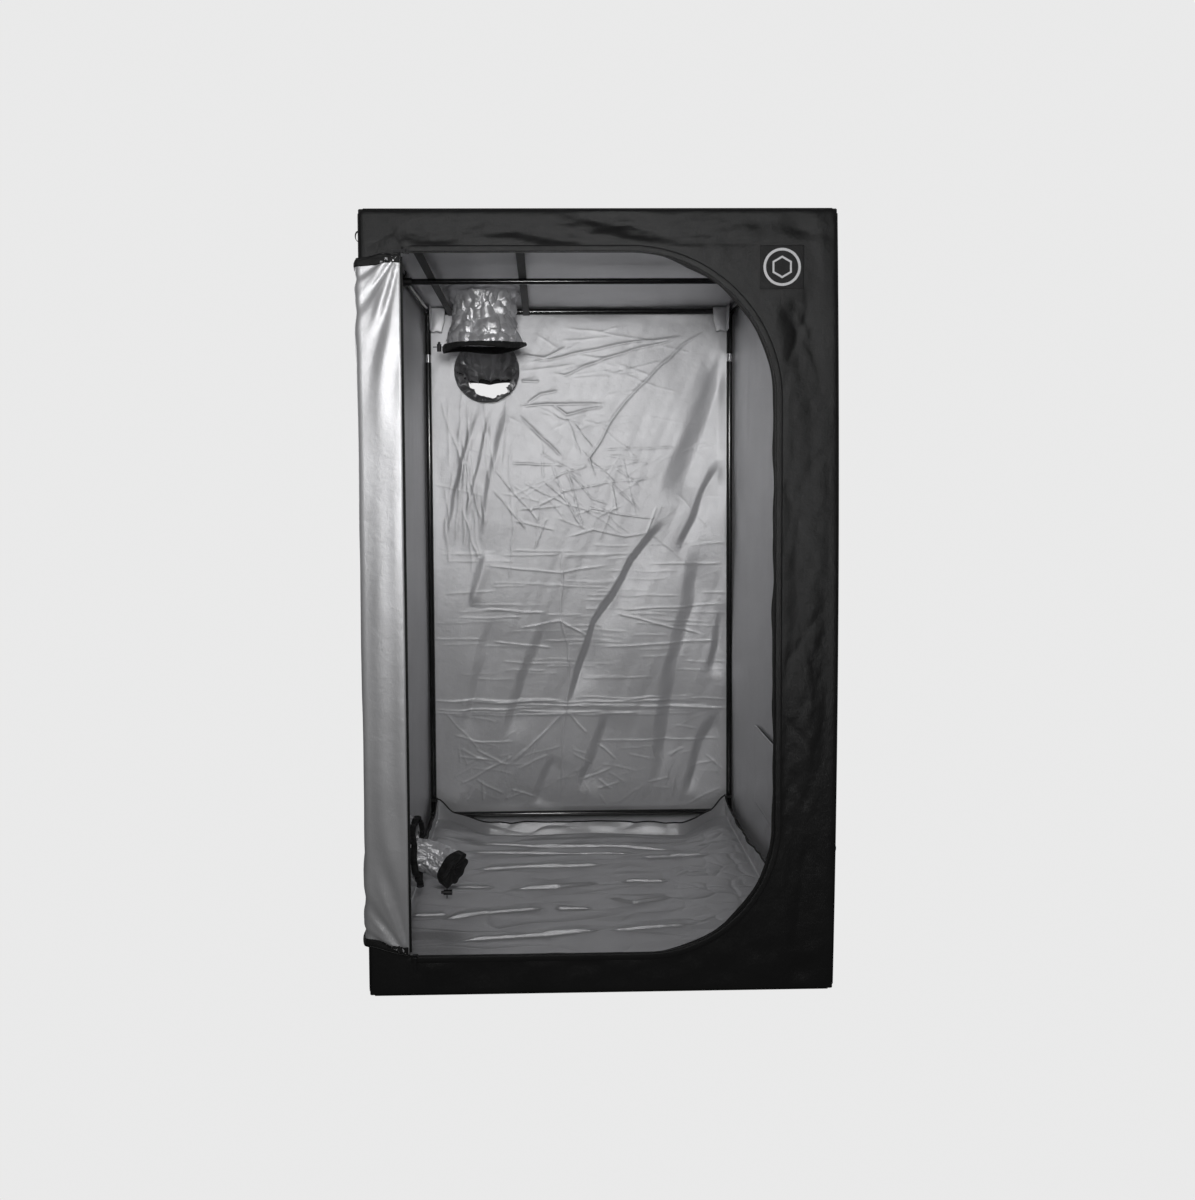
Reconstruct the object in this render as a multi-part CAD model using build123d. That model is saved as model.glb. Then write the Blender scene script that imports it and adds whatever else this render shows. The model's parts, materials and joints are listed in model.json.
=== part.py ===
"""Full-height zip-up enclosure tent on a tube frame.

Frame: +Z up, +X to the right of someone facing the door, -Y towards that person.
The origin is the middle of the floor, on the surface that the tent stands on.
All sizes are in millimetres.
"""
import os

from build123d import *

# ---- driving dimensions ------------------------------------------------------
WIDTH = 1200.0
DEPTH = 1200.0
HEIGHT = 2000.0
FABRIC = 2.0  # stand-in thickness of every fabric sheet

TUBE_R = 11.0
TUBE_WALL = 1.0
TUBE_INSET = 16.0  # tube axis to the outside of the fabric
HUB_HALF = 13.0
SPIGOT_R = TUBE_R - TUBE_WALL - 0.2
SPIGOT_LENGTH = 50.0
SPLICE_LOW = 1790.0  # top end of each long post tube
SPLICE_HIGH = 1820.0  # bottom end of each short post tube
SPLICE_GRIP = 30.0

CROSSBAR_R = 9.5
CROSSBAR_Z = 1960.5
CROSSBAR_REACH = 592.0
CLIP_WALL = 3.0
CLIP_WIDTH = 26.0
CLIP_RING = 2.0  # ring wall round the side bar
CLIP_START = 28.0  # socket start, inward of the side bar
CLIP_END = 3.5  # socket end to the outside of the fabric
RUNNING_GAP = 0.4

STRAP_WIDTH = 25.0
STRAP_THICK = 1.5
STRAP_FROM_PORT = 144.5

# Door opening: straight on its hinge side, two big corner curves on the zip side.
OPEN_LEFT = -490.0
OPEN_RIGHT = 445.0
OPEN_TOP = 1890.0
OPEN_BOTTOM = 106.0
OPEN_TOP_R = 370.0
OPEN_BOTTOM_R = 330.0
COIL_PANEL = 2.5  # width of the panel's half of the zip coil
DOOR_GAP = 8.0  # opening edge to door fabric, all round the zip
COIL_DOOR = 3.0  # width of the door's half of the zip coil
COIL_THICK = 3.4
HINGE_CLEAR = 3.0

# The open door folds flat against the front, then round the front left corner.
DOOR_REST = -603.0  # middle of the door fabric, on both sides of that corner

ROOF_PORT = (-348.5, 290.0)  # x, y
REAR_PORT = (-360.0, 1760.0)  # x, z
DUCT_R = 125.0
ROOF_SLEEVE_LOW = 1815.0
ROOF_SLEEVE_MOUTH_R = 141.0
HEM_HEIGHT = 26.0
HEM_THICK = 5.0
REAR_SLEEVE_LENGTH = 150.0

SIDE_PORT = (-170.0, 200.0)  # y, z
SIDE_R = 100.0
SIDE_SLEEVE_LENGTH = 95.0
CABLE_R = 50.0  # narrow sleeve inside the side port
CABLE_START = (-590.0, -170.0, 200.0)
CABLE_END = (-436.0, -184.0, 148.0)
CUFF_R = 56.0
CUFF_LENGTH = 18.0

POCKET_REACH = 54.0  # top corner pocket along each bar
POCKET_DROP = 63.0  # and down the post
POCKET_FOOT_WIDTH = 22.0

VENT_Y = (-45.0, 215.0)
VENT_Z = (205.0, 450.0)
VENT_CORNER_R = 30.0
FLAP_LAP = 16.0

TRAY_HALF = 570.0
TRAY_HEIGHT = 84.0
TRAY_LEAN = 66.0  # how far the slack rear wall leans in over the tray
TRAY_SINK = 28.0  # and how far its top edge is below the other walls
BINDING = 9.0
BINDING_LAP = 1.0  # binding proud of the tray fabric on each side
TIE_Z = 78.0
TIE_HEIGHT = 10.0
TIE_LINK_R = 2.5

BADGE = (457.5, 1850.5)  # x, z of its middle
BADGE_SIZE = (111.0, 109.0)
BADGE_CORNER_R = 4.0
LOOP_PLACES = ((-1, 1932.0), (1, 369.0))  # side of the tent, height
LOOP_OUT = 7.0
LOOP_HEIGHT = 24.0
LOOP_Y = (-590.0, -582.0)
LOOP_GAP = 4.0  # open width inside the loop
LOOP_WALL = 4.0  # webbing left above and below it

CORD_R = 1.3
STRAND_Y = 1.5  # each of the two cord strands to the middle of the lock
LOCK_R = 8.0
LOCK_ABOVE = 10.0  # barrel above and below the cords that cross it
LOCK_BELOW = 16.0
PLUNGER_R = 4.5
PLUNGER_FOOT = 5.5
PLUNGER_TRAVEL = 6.0

HALF_W = WIDTH / 2
HALF_D = DEPTH / 2
TUBE_X = HALF_W - TUBE_INSET
TUBE_Y = HALF_D - TUBE_INSET
TUBE_TOP = HEIGHT - TUBE_INSET
TUBE_BOTTOM = TUBE_INSET
SIGNS = (-1, 1)

os.makedirs("parts", exist_ok=True)


def save(name, shape):
    """Write one node's STEP file."""
    export_step(shape, f"parts/{name}.step")


def group(solids):
    """Several separate solids as one node."""
    return Compound(children=list(solids))


def block(low, high):
    """Box between two corner points."""
    size = [b - a for a, b in zip(low, high)]
    return Pos(*low) * Box(*size, align=(Align.MIN, Align.MIN, Align.MIN))


def rod(start, end, radius):
    """Round bar from start to end."""
    axis = Vector(*end) - Vector(*start)
    plane = Plane(origin=start, z_dir=axis)
    base = (Align.CENTER, Align.CENTER, Align.MIN)
    return plane.location * Cylinder(radius, axis.length, align=base)


def pipe(start, end, outer, inner):
    """Round tube from start to end."""
    reach = (Vector(*end) - Vector(*start)).normalized()
    far_start = Vector(*start) - reach
    far_end = Vector(*end) + reach
    return rod(start, end, outer) - rod(tuple(far_start), tuple(far_end), inner)


def sheet_xz(outline, y_low, thick=FABRIC):
    """Sheet parallel to the front: outline is drawn as (x, z)."""
    return Pos(0, y_low + thick, 0) * Rot(90, 0, 0) * extrude(outline, thick)


def sheet_yz(outline, x_low, thick=FABRIC):
    """Sheet parallel to the sides: outline is drawn as (y, z)."""
    return Pos(x_low, 0, 0) * Plane.YZ.location * extrude(outline, thick)


def rectangle(u_low, u_high, v_low, v_high):
    """Flat rectangle between two pairs of limits."""
    face = Rectangle(u_high - u_low, v_high - v_low)
    return Pos((u_low + u_high) / 2, (v_low + v_high) / 2) * face


def door_shape(inset):
    """Outline of the opening, drawn in by inset on its zip sides."""
    top = OPEN_TOP - inset
    bottom = OPEN_BOTTOM + inset
    right = OPEN_RIGHT - inset
    top_r = OPEN_TOP_R - inset
    bottom_r = OPEN_BOTTOM_R - inset
    corner_turn = 90
    edge = Line((OPEN_LEFT, bottom), (right - bottom_r, bottom))
    edge += CenterArc((right - bottom_r, bottom + bottom_r), bottom_r, -corner_turn, corner_turn)
    edge += Line((right, bottom + bottom_r), (right, top - top_r))
    edge += CenterArc((right - top_r, top - top_r), top_r, 0, corner_turn)
    edge += Line((right - top_r, top), (OPEN_LEFT, top))
    edge += Line((OPEN_LEFT, top), (OPEN_LEFT, bottom))
    return make_face(edge)


# ---- tube frame --------------------------------------------------------------
def hub(x, y, z, up):
    """Three-way corner connector with a spigot into each of its three tubes."""
    body = Pos(x, y, z) * fillet(Box(*[2 * HUB_HALF] * 3).edges(), 4)
    sx = -1 if x > 0 else 1
    sy = -1 if y > 0 else 1
    reach = HUB_HALF + SPIGOT_LENGTH
    body += rod((x, y, z), (x + sx * reach, y, z), SPIGOT_R)
    body += rod((x, y, z), (x, y + sy * reach, z), SPIGOT_R)
    body += rod((x, y, z), (x, y, z + up * reach), SPIGOT_R)
    return body


def frame():
    """Posts, splices, bars and corner connectors."""
    inner = TUBE_R - TUBE_WALL
    post_low = TUBE_BOTTOM + HUB_HALF
    post_high = TUBE_TOP - HUB_HALF
    corners = [(sx, sy) for sx in SIGNS for sy in SIGNS]
    side_names = {-1: "left", 1: "right"}
    end_names = {-1: "front", 1: "rear"}
    uppers = []
    splices = []
    for sx, sy in corners:
        x, y = sx * TUBE_X, sy * TUBE_Y
        name = f"{end_names[sy]}_{side_names[sx]}_post"
        save(name, pipe((x, y, post_low), (x, y, SPLICE_LOW), TUBE_R, inner))
        uppers.append(pipe((x, y, SPLICE_HIGH), (x, y, post_high), TUBE_R, inner))
        low, high = SPLICE_LOW - SPLICE_GRIP, SPLICE_HIGH + SPLICE_GRIP
        splices.append(pipe((x, y, low), (x, y, high), SPIGOT_R, SPIGOT_R - TUBE_WALL))
    save("upper_post_tubes", group(uppers))
    save("post_splices", group(splices))
    for level, z in (("top", TUBE_TOP), ("bottom", TUBE_BOTTOM)):
        bar_x = TUBE_X - HUB_HALF
        bar_y = TUBE_Y - HUB_HALF
        for sy in SIGNS:
            bar = pipe((-bar_x, sy * TUBE_Y, z), (bar_x, sy * TUBE_Y, z), TUBE_R, inner)
            save(f"{level}_{end_names[sy]}_bar", bar)
        for sx in SIGNS:
            bar = pipe((sx * TUBE_X, -bar_y, z), (sx * TUBE_X, bar_y, z), TUBE_R, inner)
            save(f"{level}_{side_names[sx]}_bar", bar)
        up = -1 if level == "top" else 1
        hubs = [hub(sx * TUBE_X, sy * TUBE_Y, z, up) for sx, sy in corners]
        save(f"{level}_corner_connectors", group(hubs))


def crossbar():
    """Hanging bar under the two side bars, with a clip over each side bar."""
    ends = [(sx * CROSSBAR_REACH, 0, CROSSBAR_Z) for sx in SIGNS]
    save("crossbar", pipe(ends[0], ends[1], CROSSBAR_R, CROSSBAR_R - TUBE_WALL))
    clips = []
    for sx in SIGNS:
        x = sx * TUBE_X
        half = CLIP_WIDTH / 2
        ring = rod((x, -half, TUBE_TOP), (x, half, TUBE_TOP), TUBE_R + CLIP_RING)
        start = (sx * (TUBE_X - CLIP_START), 0, CROSSBAR_Z)
        end = (sx * (HALF_W - CLIP_END), 0, CROSSBAR_Z)
        clip = ring + rod(start, end, CROSSBAR_R + CLIP_WALL)
        clip -= rod((x, -CLIP_WIDTH, TUBE_TOP), (x, CLIP_WIDTH, TUBE_TOP), TUBE_R + RUNNING_GAP)
        clip -= rod((0, 0, CROSSBAR_Z), (sx * CROSSBAR_REACH, 0, CROSSBAR_Z), CROSSBAR_R)
        clips.append(clip)
    save("crossbar_clips", group(clips))


def hanging_strap(x):
    """Webbing strap from the front bar to the rear bar, looped round both."""
    inner = TUBE_R + RUNNING_GAP
    outer = inner + STRAP_THICK
    low, high = x - STRAP_WIDTH / 2, x + STRAP_WIDTH / 2
    strap = block((low, -TUBE_Y, TUBE_TOP - outer), (high, TUBE_Y, TUBE_TOP - inner))
    for sy in SIGNS:
        strap += rod((low, sy * TUBE_Y, TUBE_TOP), (high, sy * TUBE_Y, TUBE_TOP), outer)
    for sy in SIGNS:
        strap -= rod((low - 1, sy * TUBE_Y, TUBE_TOP), (high + 1, sy * TUBE_Y, TUBE_TOP), inner)
    return strap


# ---- fabric body -------------------------------------------------------------
def panels():
    """Front, rear, side, roof and floor sheets, with their openings."""
    inside = HALF_D - FABRIC
    face = rectangle(-HALF_W, HALF_W, 0, HEIGHT)
    save("front_panel", sheet_xz(face - door_shape(0), -HALF_D))
    save("rear_panel", sheet_xz(face - Pos(*REAR_PORT) * Circle(DUCT_R), inside))
    side = rectangle(-inside, inside, 0, HEIGHT)
    save("left_panel", sheet_yz(side - Pos(*SIDE_PORT) * Circle(SIDE_R), -HALF_W))
    vent = rectangle(*VENT_Y, *VENT_Z)
    vent = fillet(vent.vertices(), VENT_CORNER_R)
    save("right_panel", sheet_yz(side - vent, HALF_W - FABRIC))
    deck = rectangle(-HALF_W + FABRIC, HALF_W - FABRIC, -inside, inside)
    roof = deck - Pos(*ROOF_PORT) * Circle(DUCT_R)
    save("roof_panel", Pos(0, 0, HEIGHT - FABRIC) * extrude(roof, FABRIC))
    save("floor_panel", extrude(deck, FABRIC))


def corner_pockets():
    """Fabric pockets sewn over the four top corner connectors."""
    edge = TUBE_X - HUB_HALF
    inner = edge - POCKET_REACH
    foot_inner = edge - POCKET_FOOT_WIDTH
    top = HEIGHT - FABRIC
    low = TUBE_TOP - TUBE_INSET
    foot = low - POCKET_DROP
    points = [(edge, foot), (edge, top), (inner, top), (inner, low), (foot_inner, foot)]
    wing = make_face(Polyline(*points, close=True))
    pockets = []
    for sx in SIGNS:
        for sy in SIGNS:
            across = wing if sx > 0 else mirror(wing, Plane.YZ)
            along = wing if sy > 0 else mirror(wing, Plane.YZ)
            y_low = edge - FABRIC if sy > 0 else -edge
            x_low = edge - FABRIC if sx > 0 else -edge
            pockets.append(sheet_xz(across, y_low) + sheet_yz(along, x_low))
    save("corner_pockets", group(pockets))


# ---- door and zip ------------------------------------------------------------
def coil_ring(outer_inset, inner_inset):
    """Band that follows the zip sides of the opening, hinge side left open."""
    band = door_shape(outer_inset) - door_shape(inner_inset)
    return band & rectangle(OPEN_LEFT + HINGE_CLEAR, HALF_W, 0, HEIGHT)


def door():
    """Door in two hinged stretches, each with its part of the zip coil."""
    hinge_edge = OPEN_LEFT - HINGE_CLEAR
    fold_edge = DOOR_REST + HINGE_CLEAR
    low, high = OPEN_BOTTOM + DOOR_GAP, OPEN_TOP - DOOR_GAP
    strip = rectangle(fold_edge, hinge_edge, low, high)
    save("door_strip", sheet_xz(strip, DOOR_REST - FABRIC / 2))
    coils = rectangle(fold_edge, hinge_edge, high, high + COIL_DOOR)
    coils += rectangle(fold_edge, hinge_edge, low - COIL_DOOR, low)
    save("door_strip_zip", sheet_xz(coils, DOOR_REST - COIL_THICK / 2, COIL_THICK))

    # Closed, the fold line lies here, and the main stretch runs on from it.
    fold_closed = 2 * OPEN_LEFT - DOOR_REST
    main_start = fold_closed + HINGE_CLEAR
    to_rest = Pos(DOOR_REST - fold_closed, 0)
    zip_side = rectangle(main_start, HALF_W, 0, HEIGHT)
    main = to_rest * (door_shape(DOOR_GAP) & zip_side)
    save("door_main", sheet_yz(main, DOOR_REST - FABRIC / 2))
    coil = to_rest * (coil_ring(DOOR_GAP - COIL_DOOR, DOOR_GAP) & zip_side)
    save("door_main_zip", sheet_yz(coil, DOOR_REST - COIL_THICK / 2, COIL_THICK))


def panel_zip():
    """Panel half of the zip coil, and the draught flap behind its curved side."""
    middle = -HALF_D + FABRIC / 2
    save("panel_zip", sheet_xz(coil_ring(0, COIL_PANEL), middle - COIL_THICK / 2, COIL_THICK))
    lap = 18.0
    band = door_shape(-lap) - door_shape(lap)
    curved = rectangle(OPEN_RIGHT - OPEN_BOTTOM_R + 10, HALF_W, 0, HEIGHT)
    flap_thick = 1.4
    save("zip_draught_flap", sheet_xz(band & curved, -HALF_D + FABRIC + 1, flap_thick))


def slider(side, edge_z):
    """Zip slider that rides the panel's coil; side is +1 on the top edge, -1 on the bottom."""
    middle = -HALF_D + FABRIC / 2
    half = COIL_THICK / 2 + RUNNING_GAP
    plate = 1.6
    x_low, x_high = OPEN_LEFT + 4, OPEN_LEFT + 18
    wall_near, wall_far = 3.0, 4.2
    inward = sorted((edge_z - side * wall_far, edge_z - side * wall_near))
    span = sorted((edge_z - side * wall_far, edge_z + side * 8))
    front = block((x_low, middle - half - plate, span[0]), (x_high, middle - half, span[1]))
    rear = block((x_low, middle + half, span[0]), (x_high, middle + half + plate, span[1]))
    wall = block((x_low, middle - half, inward[0]), (x_high, middle + half, inward[1]))
    return front + rear + wall


def sliders():
    """Two sliders with their bails and pull tabs."""
    x_mid = OPEN_LEFT + 11
    face_y = -HALF_D + FABRIC / 2 - COIL_THICK / 2 - RUNNING_GAP - 1.6
    pin_y = face_y - 2.2
    pin_r = 0.8
    post = 3.4
    tab_length, tab_width, tab_thick = 34.0, 8.0, 1.6

    # Top: the tab lies along the zip and flips about an upright pin.
    z = OPEN_TOP + 2
    body = slider(1, OPEN_TOP)
    for dz in SIGNS:
        zc = z + dz * 5.0
        body += block((x_mid - 1.5, face_y - post, zc - 1), (x_mid + 1.5, face_y, zc + 1))
    body += rod((x_mid, pin_y, z - 5), (x_mid, pin_y, z + 5), pin_r)
    save("top_zip_slider", body)
    low = (x_mid - tab_length, pin_y - tab_thick / 2, z - tab_width / 2 + 0.5)
    high = (x_mid + 1.6, pin_y + tab_thick / 2, z + tab_width / 2 - 0.5)
    tab = fillet(block(low, high).edges().filter_by(Axis.Y), 1.2)
    slot_low = (x_mid - pin_r - 0.15, low[1] - 1, z - 2.6)
    slot_high = (x_mid + pin_r + 0.15, high[1] + 1, z + 2.6)
    tab -= block(slot_low, slot_high)
    tab += pipe((x_mid, pin_y, z - 2.6), (x_mid, pin_y, z + 2.6), 1.9, pin_r + 0.15)
    tab -= rod((x_mid, pin_y, z - 6), (x_mid, pin_y, z + 6), pin_r + 0.15)
    save("top_pull_tab", tab)

    # Bottom: the tab hangs down and swings forward about a level pin.
    z = OPEN_BOTTOM - 2
    body = slider(-1, OPEN_BOTTOM)
    for dx in SIGNS:
        xc = x_mid + dx * 5.0
        body += block((xc - 1, face_y - post, z - 1.5), (xc + 1, face_y, z + 1.5))
    body += rod((x_mid - 5, pin_y, z), (x_mid + 5, pin_y, z), pin_r)
    save("bottom_zip_slider", body)
    low = (x_mid - tab_width / 2 + 0.5, pin_y - tab_thick / 2, z - tab_length)
    high = (x_mid + tab_width / 2 - 0.5, pin_y + tab_thick / 2, z + 1.6)
    tab = fillet(block(low, high).edges().filter_by(Axis.Y), 1.2)
    slot_low = (x_mid - 2.6, low[1] - 1, z - pin_r - 0.15)
    slot_high = (x_mid + 2.6, high[1] + 1, z + pin_r + 0.15)
    tab -= block(slot_low, slot_high)
    tab += pipe((x_mid - 2.6, pin_y, z), (x_mid + 2.6, pin_y, z), 1.9, pin_r + 0.15)
    tab -= rod((x_mid - 6, pin_y, z), (x_mid + 6, pin_y, z), pin_r + 0.15)
    save("bottom_pull_tab", tab)


# ---- ports and sleeves -------------------------------------------------------
def cone_sleeve(x, y, z_high, r_high, z_low, r_low):
    """Flared fabric sleeve with an upright axis; the radii are of its inside."""
    profile = [(r_high, z_high), (r_high + FABRIC, z_high), (r_low + FABRIC, z_low), (r_low, z_low)]
    face = Plane.XZ * make_face(Polyline(*profile, close=True))
    return Pos(x, y, 0) * revolve(face, Axis.Z)


def cord_lock(place):
    """Barrel with a cross hole, its plunger and the spring under it.

    Before it is placed, the plunger points along +Z and the cords cross at the origin along X.
    """
    base = 2.0
    bore = PLUNGER_R + 0.3
    hole = CORD_R + 0.8
    barrel = rod((0, 0, -LOCK_BELOW), (0, 0, LOCK_ABOVE), LOCK_R)
    barrel -= rod((0, 0, base - LOCK_BELOW), (0, 0, LOCK_ABOVE + 1), bore)
    barrel -= block((-12, -STRAND_Y - hole, -hole), (12, STRAND_Y + hole, hole))
    plunger = rod((0, 0, -PLUNGER_FOOT), (0, 0, LOCK_ABOVE + PLUNGER_TRAVEL + 1.5), PLUNGER_R)
    plunger -= block((-12, -3.3, -hole), (12, 3.3, hole + PLUNGER_TRAVEL))
    wire_r = 0.35
    room_low = base - LOCK_BELOW + wire_r + 0.1
    room_high = -PLUNGER_FOOT - wire_r - 0.1
    turns = 3
    helix = Helix(pitch=(room_high - room_low) / turns, height=room_high - room_low, radius=3.0)
    start = Plane(origin=helix @ 0, z_dir=helix % 0)
    spring = Pos(0, 0, room_low) * sweep(start * Circle(wire_r), path=helix)
    return [place * piece for piece in (barrel, plunger, spring)]


def save_lock(name, pieces):
    """Write the three nodes of one cord lock."""
    for piece, part_name in zip(pieces, ("barrel", "plunger", "spring")):
        save(f"{name}_lock_{part_name}", piece)


def roof_port():
    """Duct sleeve that hangs inside from the roof, with its hem, drawcord and lock."""
    x, y = ROOF_PORT
    top = HEIGHT - FABRIC
    sleeve = cone_sleeve(x, y, top, DUCT_R, ROOF_SLEEVE_LOW, ROOF_SLEEVE_MOUTH_R)
    save("roof_sleeve", sleeve)
    hem_low = ROOF_SLEEVE_LOW - HEM_HEIGHT
    cord_z = ROOF_SLEEVE_LOW - HEM_HEIGHT / 2
    cord_ring_r = ROOF_SLEEVE_MOUTH_R + HEM_THICK / 2
    channel = CORD_R + 0.2
    hem = pipe((x, y, hem_low), (x, y, ROOF_SLEEVE_LOW), ROOF_SLEEVE_MOUTH_R + HEM_THICK,
               ROOF_SLEEVE_MOUTH_R)
    hem -= pipe((x, y, cord_z - channel), (x, y, cord_z + channel), cord_ring_r + channel,
                cord_ring_r - channel)
    left = x - cord_ring_r
    exit_y = STRAND_Y + channel
    hem -= block((left - 10, y - exit_y, cord_z - channel), (left, y + exit_y, cord_z + channel))
    strands = []
    for sy in SIGNS:
        start = (left + 0.5, y + sy * STRAND_Y, cord_z)
        end = (left - 36, y + sy * STRAND_Y, cord_z)
        strands.append((start, end))
    save("roof_sleeve_hem", hem)
    cord = Pos(x, y, cord_z) * Torus(cord_ring_r, CORD_R)
    for start, end in strands:
        cord += rod(start, end, CORD_R)
    save("roof_drawcord", cord)
    lock_x = left - HEM_THICK / 2 - LOCK_R - 4
    save_lock("roof", cord_lock(Pos(lock_x, y, cord_z)))


def rear_port():
    """Duct sleeve that leaves through the rear wall, with its hem."""
    x, z = REAR_PORT
    end = HALF_D + REAR_SLEEVE_LENGTH
    save("rear_sleeve", pipe((x, HALF_D, z), (x, end, z), DUCT_R + FABRIC, DUCT_R))
    save("rear_sleeve_hem", pipe((x, end, z), (x, end + HEM_HEIGHT, z), DUCT_R + HEM_THICK, DUCT_R))


def side_port():
    """Low port in the left wall: a wide sleeve with a narrow, closed cable sleeve in it."""
    y, z = SIDE_PORT
    inside = -HALF_W + FABRIC
    end = inside + SIDE_SLEEVE_LENGTH
    sleeve = pipe((inside, y, z), (end, y, z), SIDE_R, SIDE_R - FABRIC)
    save("side_sleeve", sleeve)
    hem = pipe((end, y, z), (end + HEM_HEIGHT, y, z), SIDE_R + 1, SIDE_R - 4)
    save("side_sleeve_hem", hem)
    cable = rod(CABLE_START, CABLE_END, CABLE_R)
    lean = (Vector(*CABLE_END) - Vector(*CABLE_START)).normalized()
    back = tuple(Vector(*CABLE_START) - lean * 40)
    cable += rod(back, CABLE_START, CABLE_R)
    bore = rod(tuple(Vector(*back) - lean), tuple(Vector(*CABLE_END) + lean), CABLE_R - FABRIC)
    root_x = CABLE_START[0]
    baffle = rod((root_x - FABRIC, y, z), (root_x, y, z), SIDE_R - FABRIC)
    room = block((root_x - FABRIC, y - 200, 0), (root_x + 400, y + 200, 500))
    save("cable_sleeve", ((cable & room) + baffle) - bore)
    cuff_end = tuple(Vector(*CABLE_END) + lean * CUFF_LENGTH)
    cuff = fillet(rod(CABLE_END, cuff_end, CUFF_R).edges(), 6)
    save("cable_sleeve_cuff", cuff)
    middle = Vector(*CABLE_END) + lean * (CUFF_LENGTH / 2)
    foot_z = middle.Z - CUFF_R
    x = middle.X - 18
    strands = []
    for sy in SIGNS:
        strand_y = middle.Y + sy * STRAND_Y
        strands.append(rod((x, strand_y, foot_z + 20), (x, strand_y, foot_z - 34), CORD_R) - cuff)
    save("cable_cuff_cord", group(strands))
    down = Pos(x, middle.Y, foot_z - 16) * Rot(0, -90, 0)
    save_lock("cable", cord_lock(down))


def vent():
    """Mesh vent in the right wall and the flap that covers it on the inside."""
    lap = FLAP_LAP
    outer = rectangle(VENT_Y[0] - lap, VENT_Y[1] + lap, VENT_Z[0] - lap, VENT_Z[1] + lap)
    outer = fillet(outer.vertices(), VENT_CORNER_R)
    inner = fillet(rectangle(*VENT_Y, *VENT_Z).vertices(), VENT_CORNER_R)
    save("vent_mesh", sheet_yz(inner, HALF_W - 1.5, 1.0))
    save("vent_flap", sheet_yz(outer, HALF_W - FABRIC - 2.5))


# ---- spill tray and trim -----------------------------------------------------
def tray():
    """Loose spill tray: floor, three upright walls and a slack rear wall that leans in."""
    low = FABRIC + 0.3
    h = TRAY_HALF
    floor = block((-h, -h, low), (h, h, low + FABRIC))
    high = low + TRAY_HEIGHT
    solid = floor + block((-h, -h, low), (h, -h + FABRIC, high))
    for sx in SIGNS:
        x_low = -h if sx < 0 else h - FABRIC
        solid += block((x_low, -h, low), (x_low + FABRIC, h, high))
    lean_top = high - TRAY_SINK
    lean_y = h - TRAY_LEAN
    lean = [(h, low), (h, low + 3), (lean_y, lean_top), (lean_y - 2.5, lean_top - 2), (h - 3, low)]
    rear = make_face(Polyline(*lean, close=True))
    solid += Pos(-h, 0, 0) * Plane.YZ.location * extrude(rear, 2 * h)
    save("spill_tray", solid)
    lap = BINDING_LAP
    strips = [block((-h - lap, -h - lap, high), (h + lap, -h + FABRIC + lap, high + BINDING))]
    for sx in SIGNS:
        x_low = -h - lap if sx < 0 else h - FABRIC - lap
        start = -h + FABRIC + lap + 0.2
        end = lean_y - 4
        strips.append(block((x_low, start, high), (x_low + FABRIC + 2 * lap, end, high + BINDING)))
    rear_y = lean_y - 1.5
    rear_low = lean_top + 0.3
    strips.append(block((-h + 4, rear_y - 2, rear_low), (h - 4, rear_y + 2, rear_low + BINDING)))
    save("tray_binding", group(strips))
    ties = []
    for sx in SIGNS:
        for sy in SIGNS:
            x, y = sx * TUBE_X, sy * TUBE_Y
            low_z, high_z = TIE_Z - TIE_HEIGHT / 2, TIE_Z + TIE_HEIGHT / 2
            loop = pipe((x, y, low_z), (x, y, high_z), TUBE_R + 2, TUBE_R + 0.1)
            near, far = TUBE_R / 2 ** 0.5 + 1, TUBE_X - TRAY_HALF - 0.2
            start = (x - sx * near, y - sy * near, TIE_Z)
            loop += rod(start, (x - sx * far, y - sy * far, TIE_Z), TIE_LINK_R)
            ties.append(loop)
    save("tray_ties", group(ties))


def trim():
    """Plain badge on the front, and small tie loops at the front edges."""
    badge = Pos(*BADGE) * RectangleRounded(*BADGE_SIZE, BADGE_CORNER_R)
    save("badge_patch", sheet_xz(badge, -HALF_D - 1, 1.0))
    loops = []
    gap, wall_up = LOOP_GAP / 2, LOOP_WALL
    y_low, y_high = LOOP_Y
    for side, z in LOOP_PLACES:
        near, far = sorted((side * HALF_W, side * (HALF_W + LOOP_OUT)))
        x = side * (HALF_W + LOOP_OUT / 2)
        half = LOOP_HEIGHT / 2
        loop = block((near, y_low, z - half), (far, y_high, z + half))
        loop -= block((x - gap, y_low - 1, z - half + wall_up), (x + gap, y_high + 1, z + half - wall_up))
        loops.append(loop)
    save("tie_loops", group(loops))


frame()
crossbar()
save("left_hanging_strap", hanging_strap(ROOF_PORT[0] - STRAP_FROM_PORT))
save("right_hanging_strap", hanging_strap(ROOF_PORT[0] + STRAP_FROM_PORT))
panels()
corner_pockets()
door()
panel_zip()
sliders()
roof_port()
rear_port()
side_port()
vent()
tray()
trim()
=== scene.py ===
"""Looks of the enclosure tent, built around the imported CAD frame.

Metres. +Z is up, and the door faces -Y. Cloth is mesh work: grids with folds and creases pressed
into them, thickened so that the outside is black and the inside is the silver lining.
"""
import json
import math

import bmesh
import bpy
import numpy as np
from mathutils import Matrix, Vector


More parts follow.
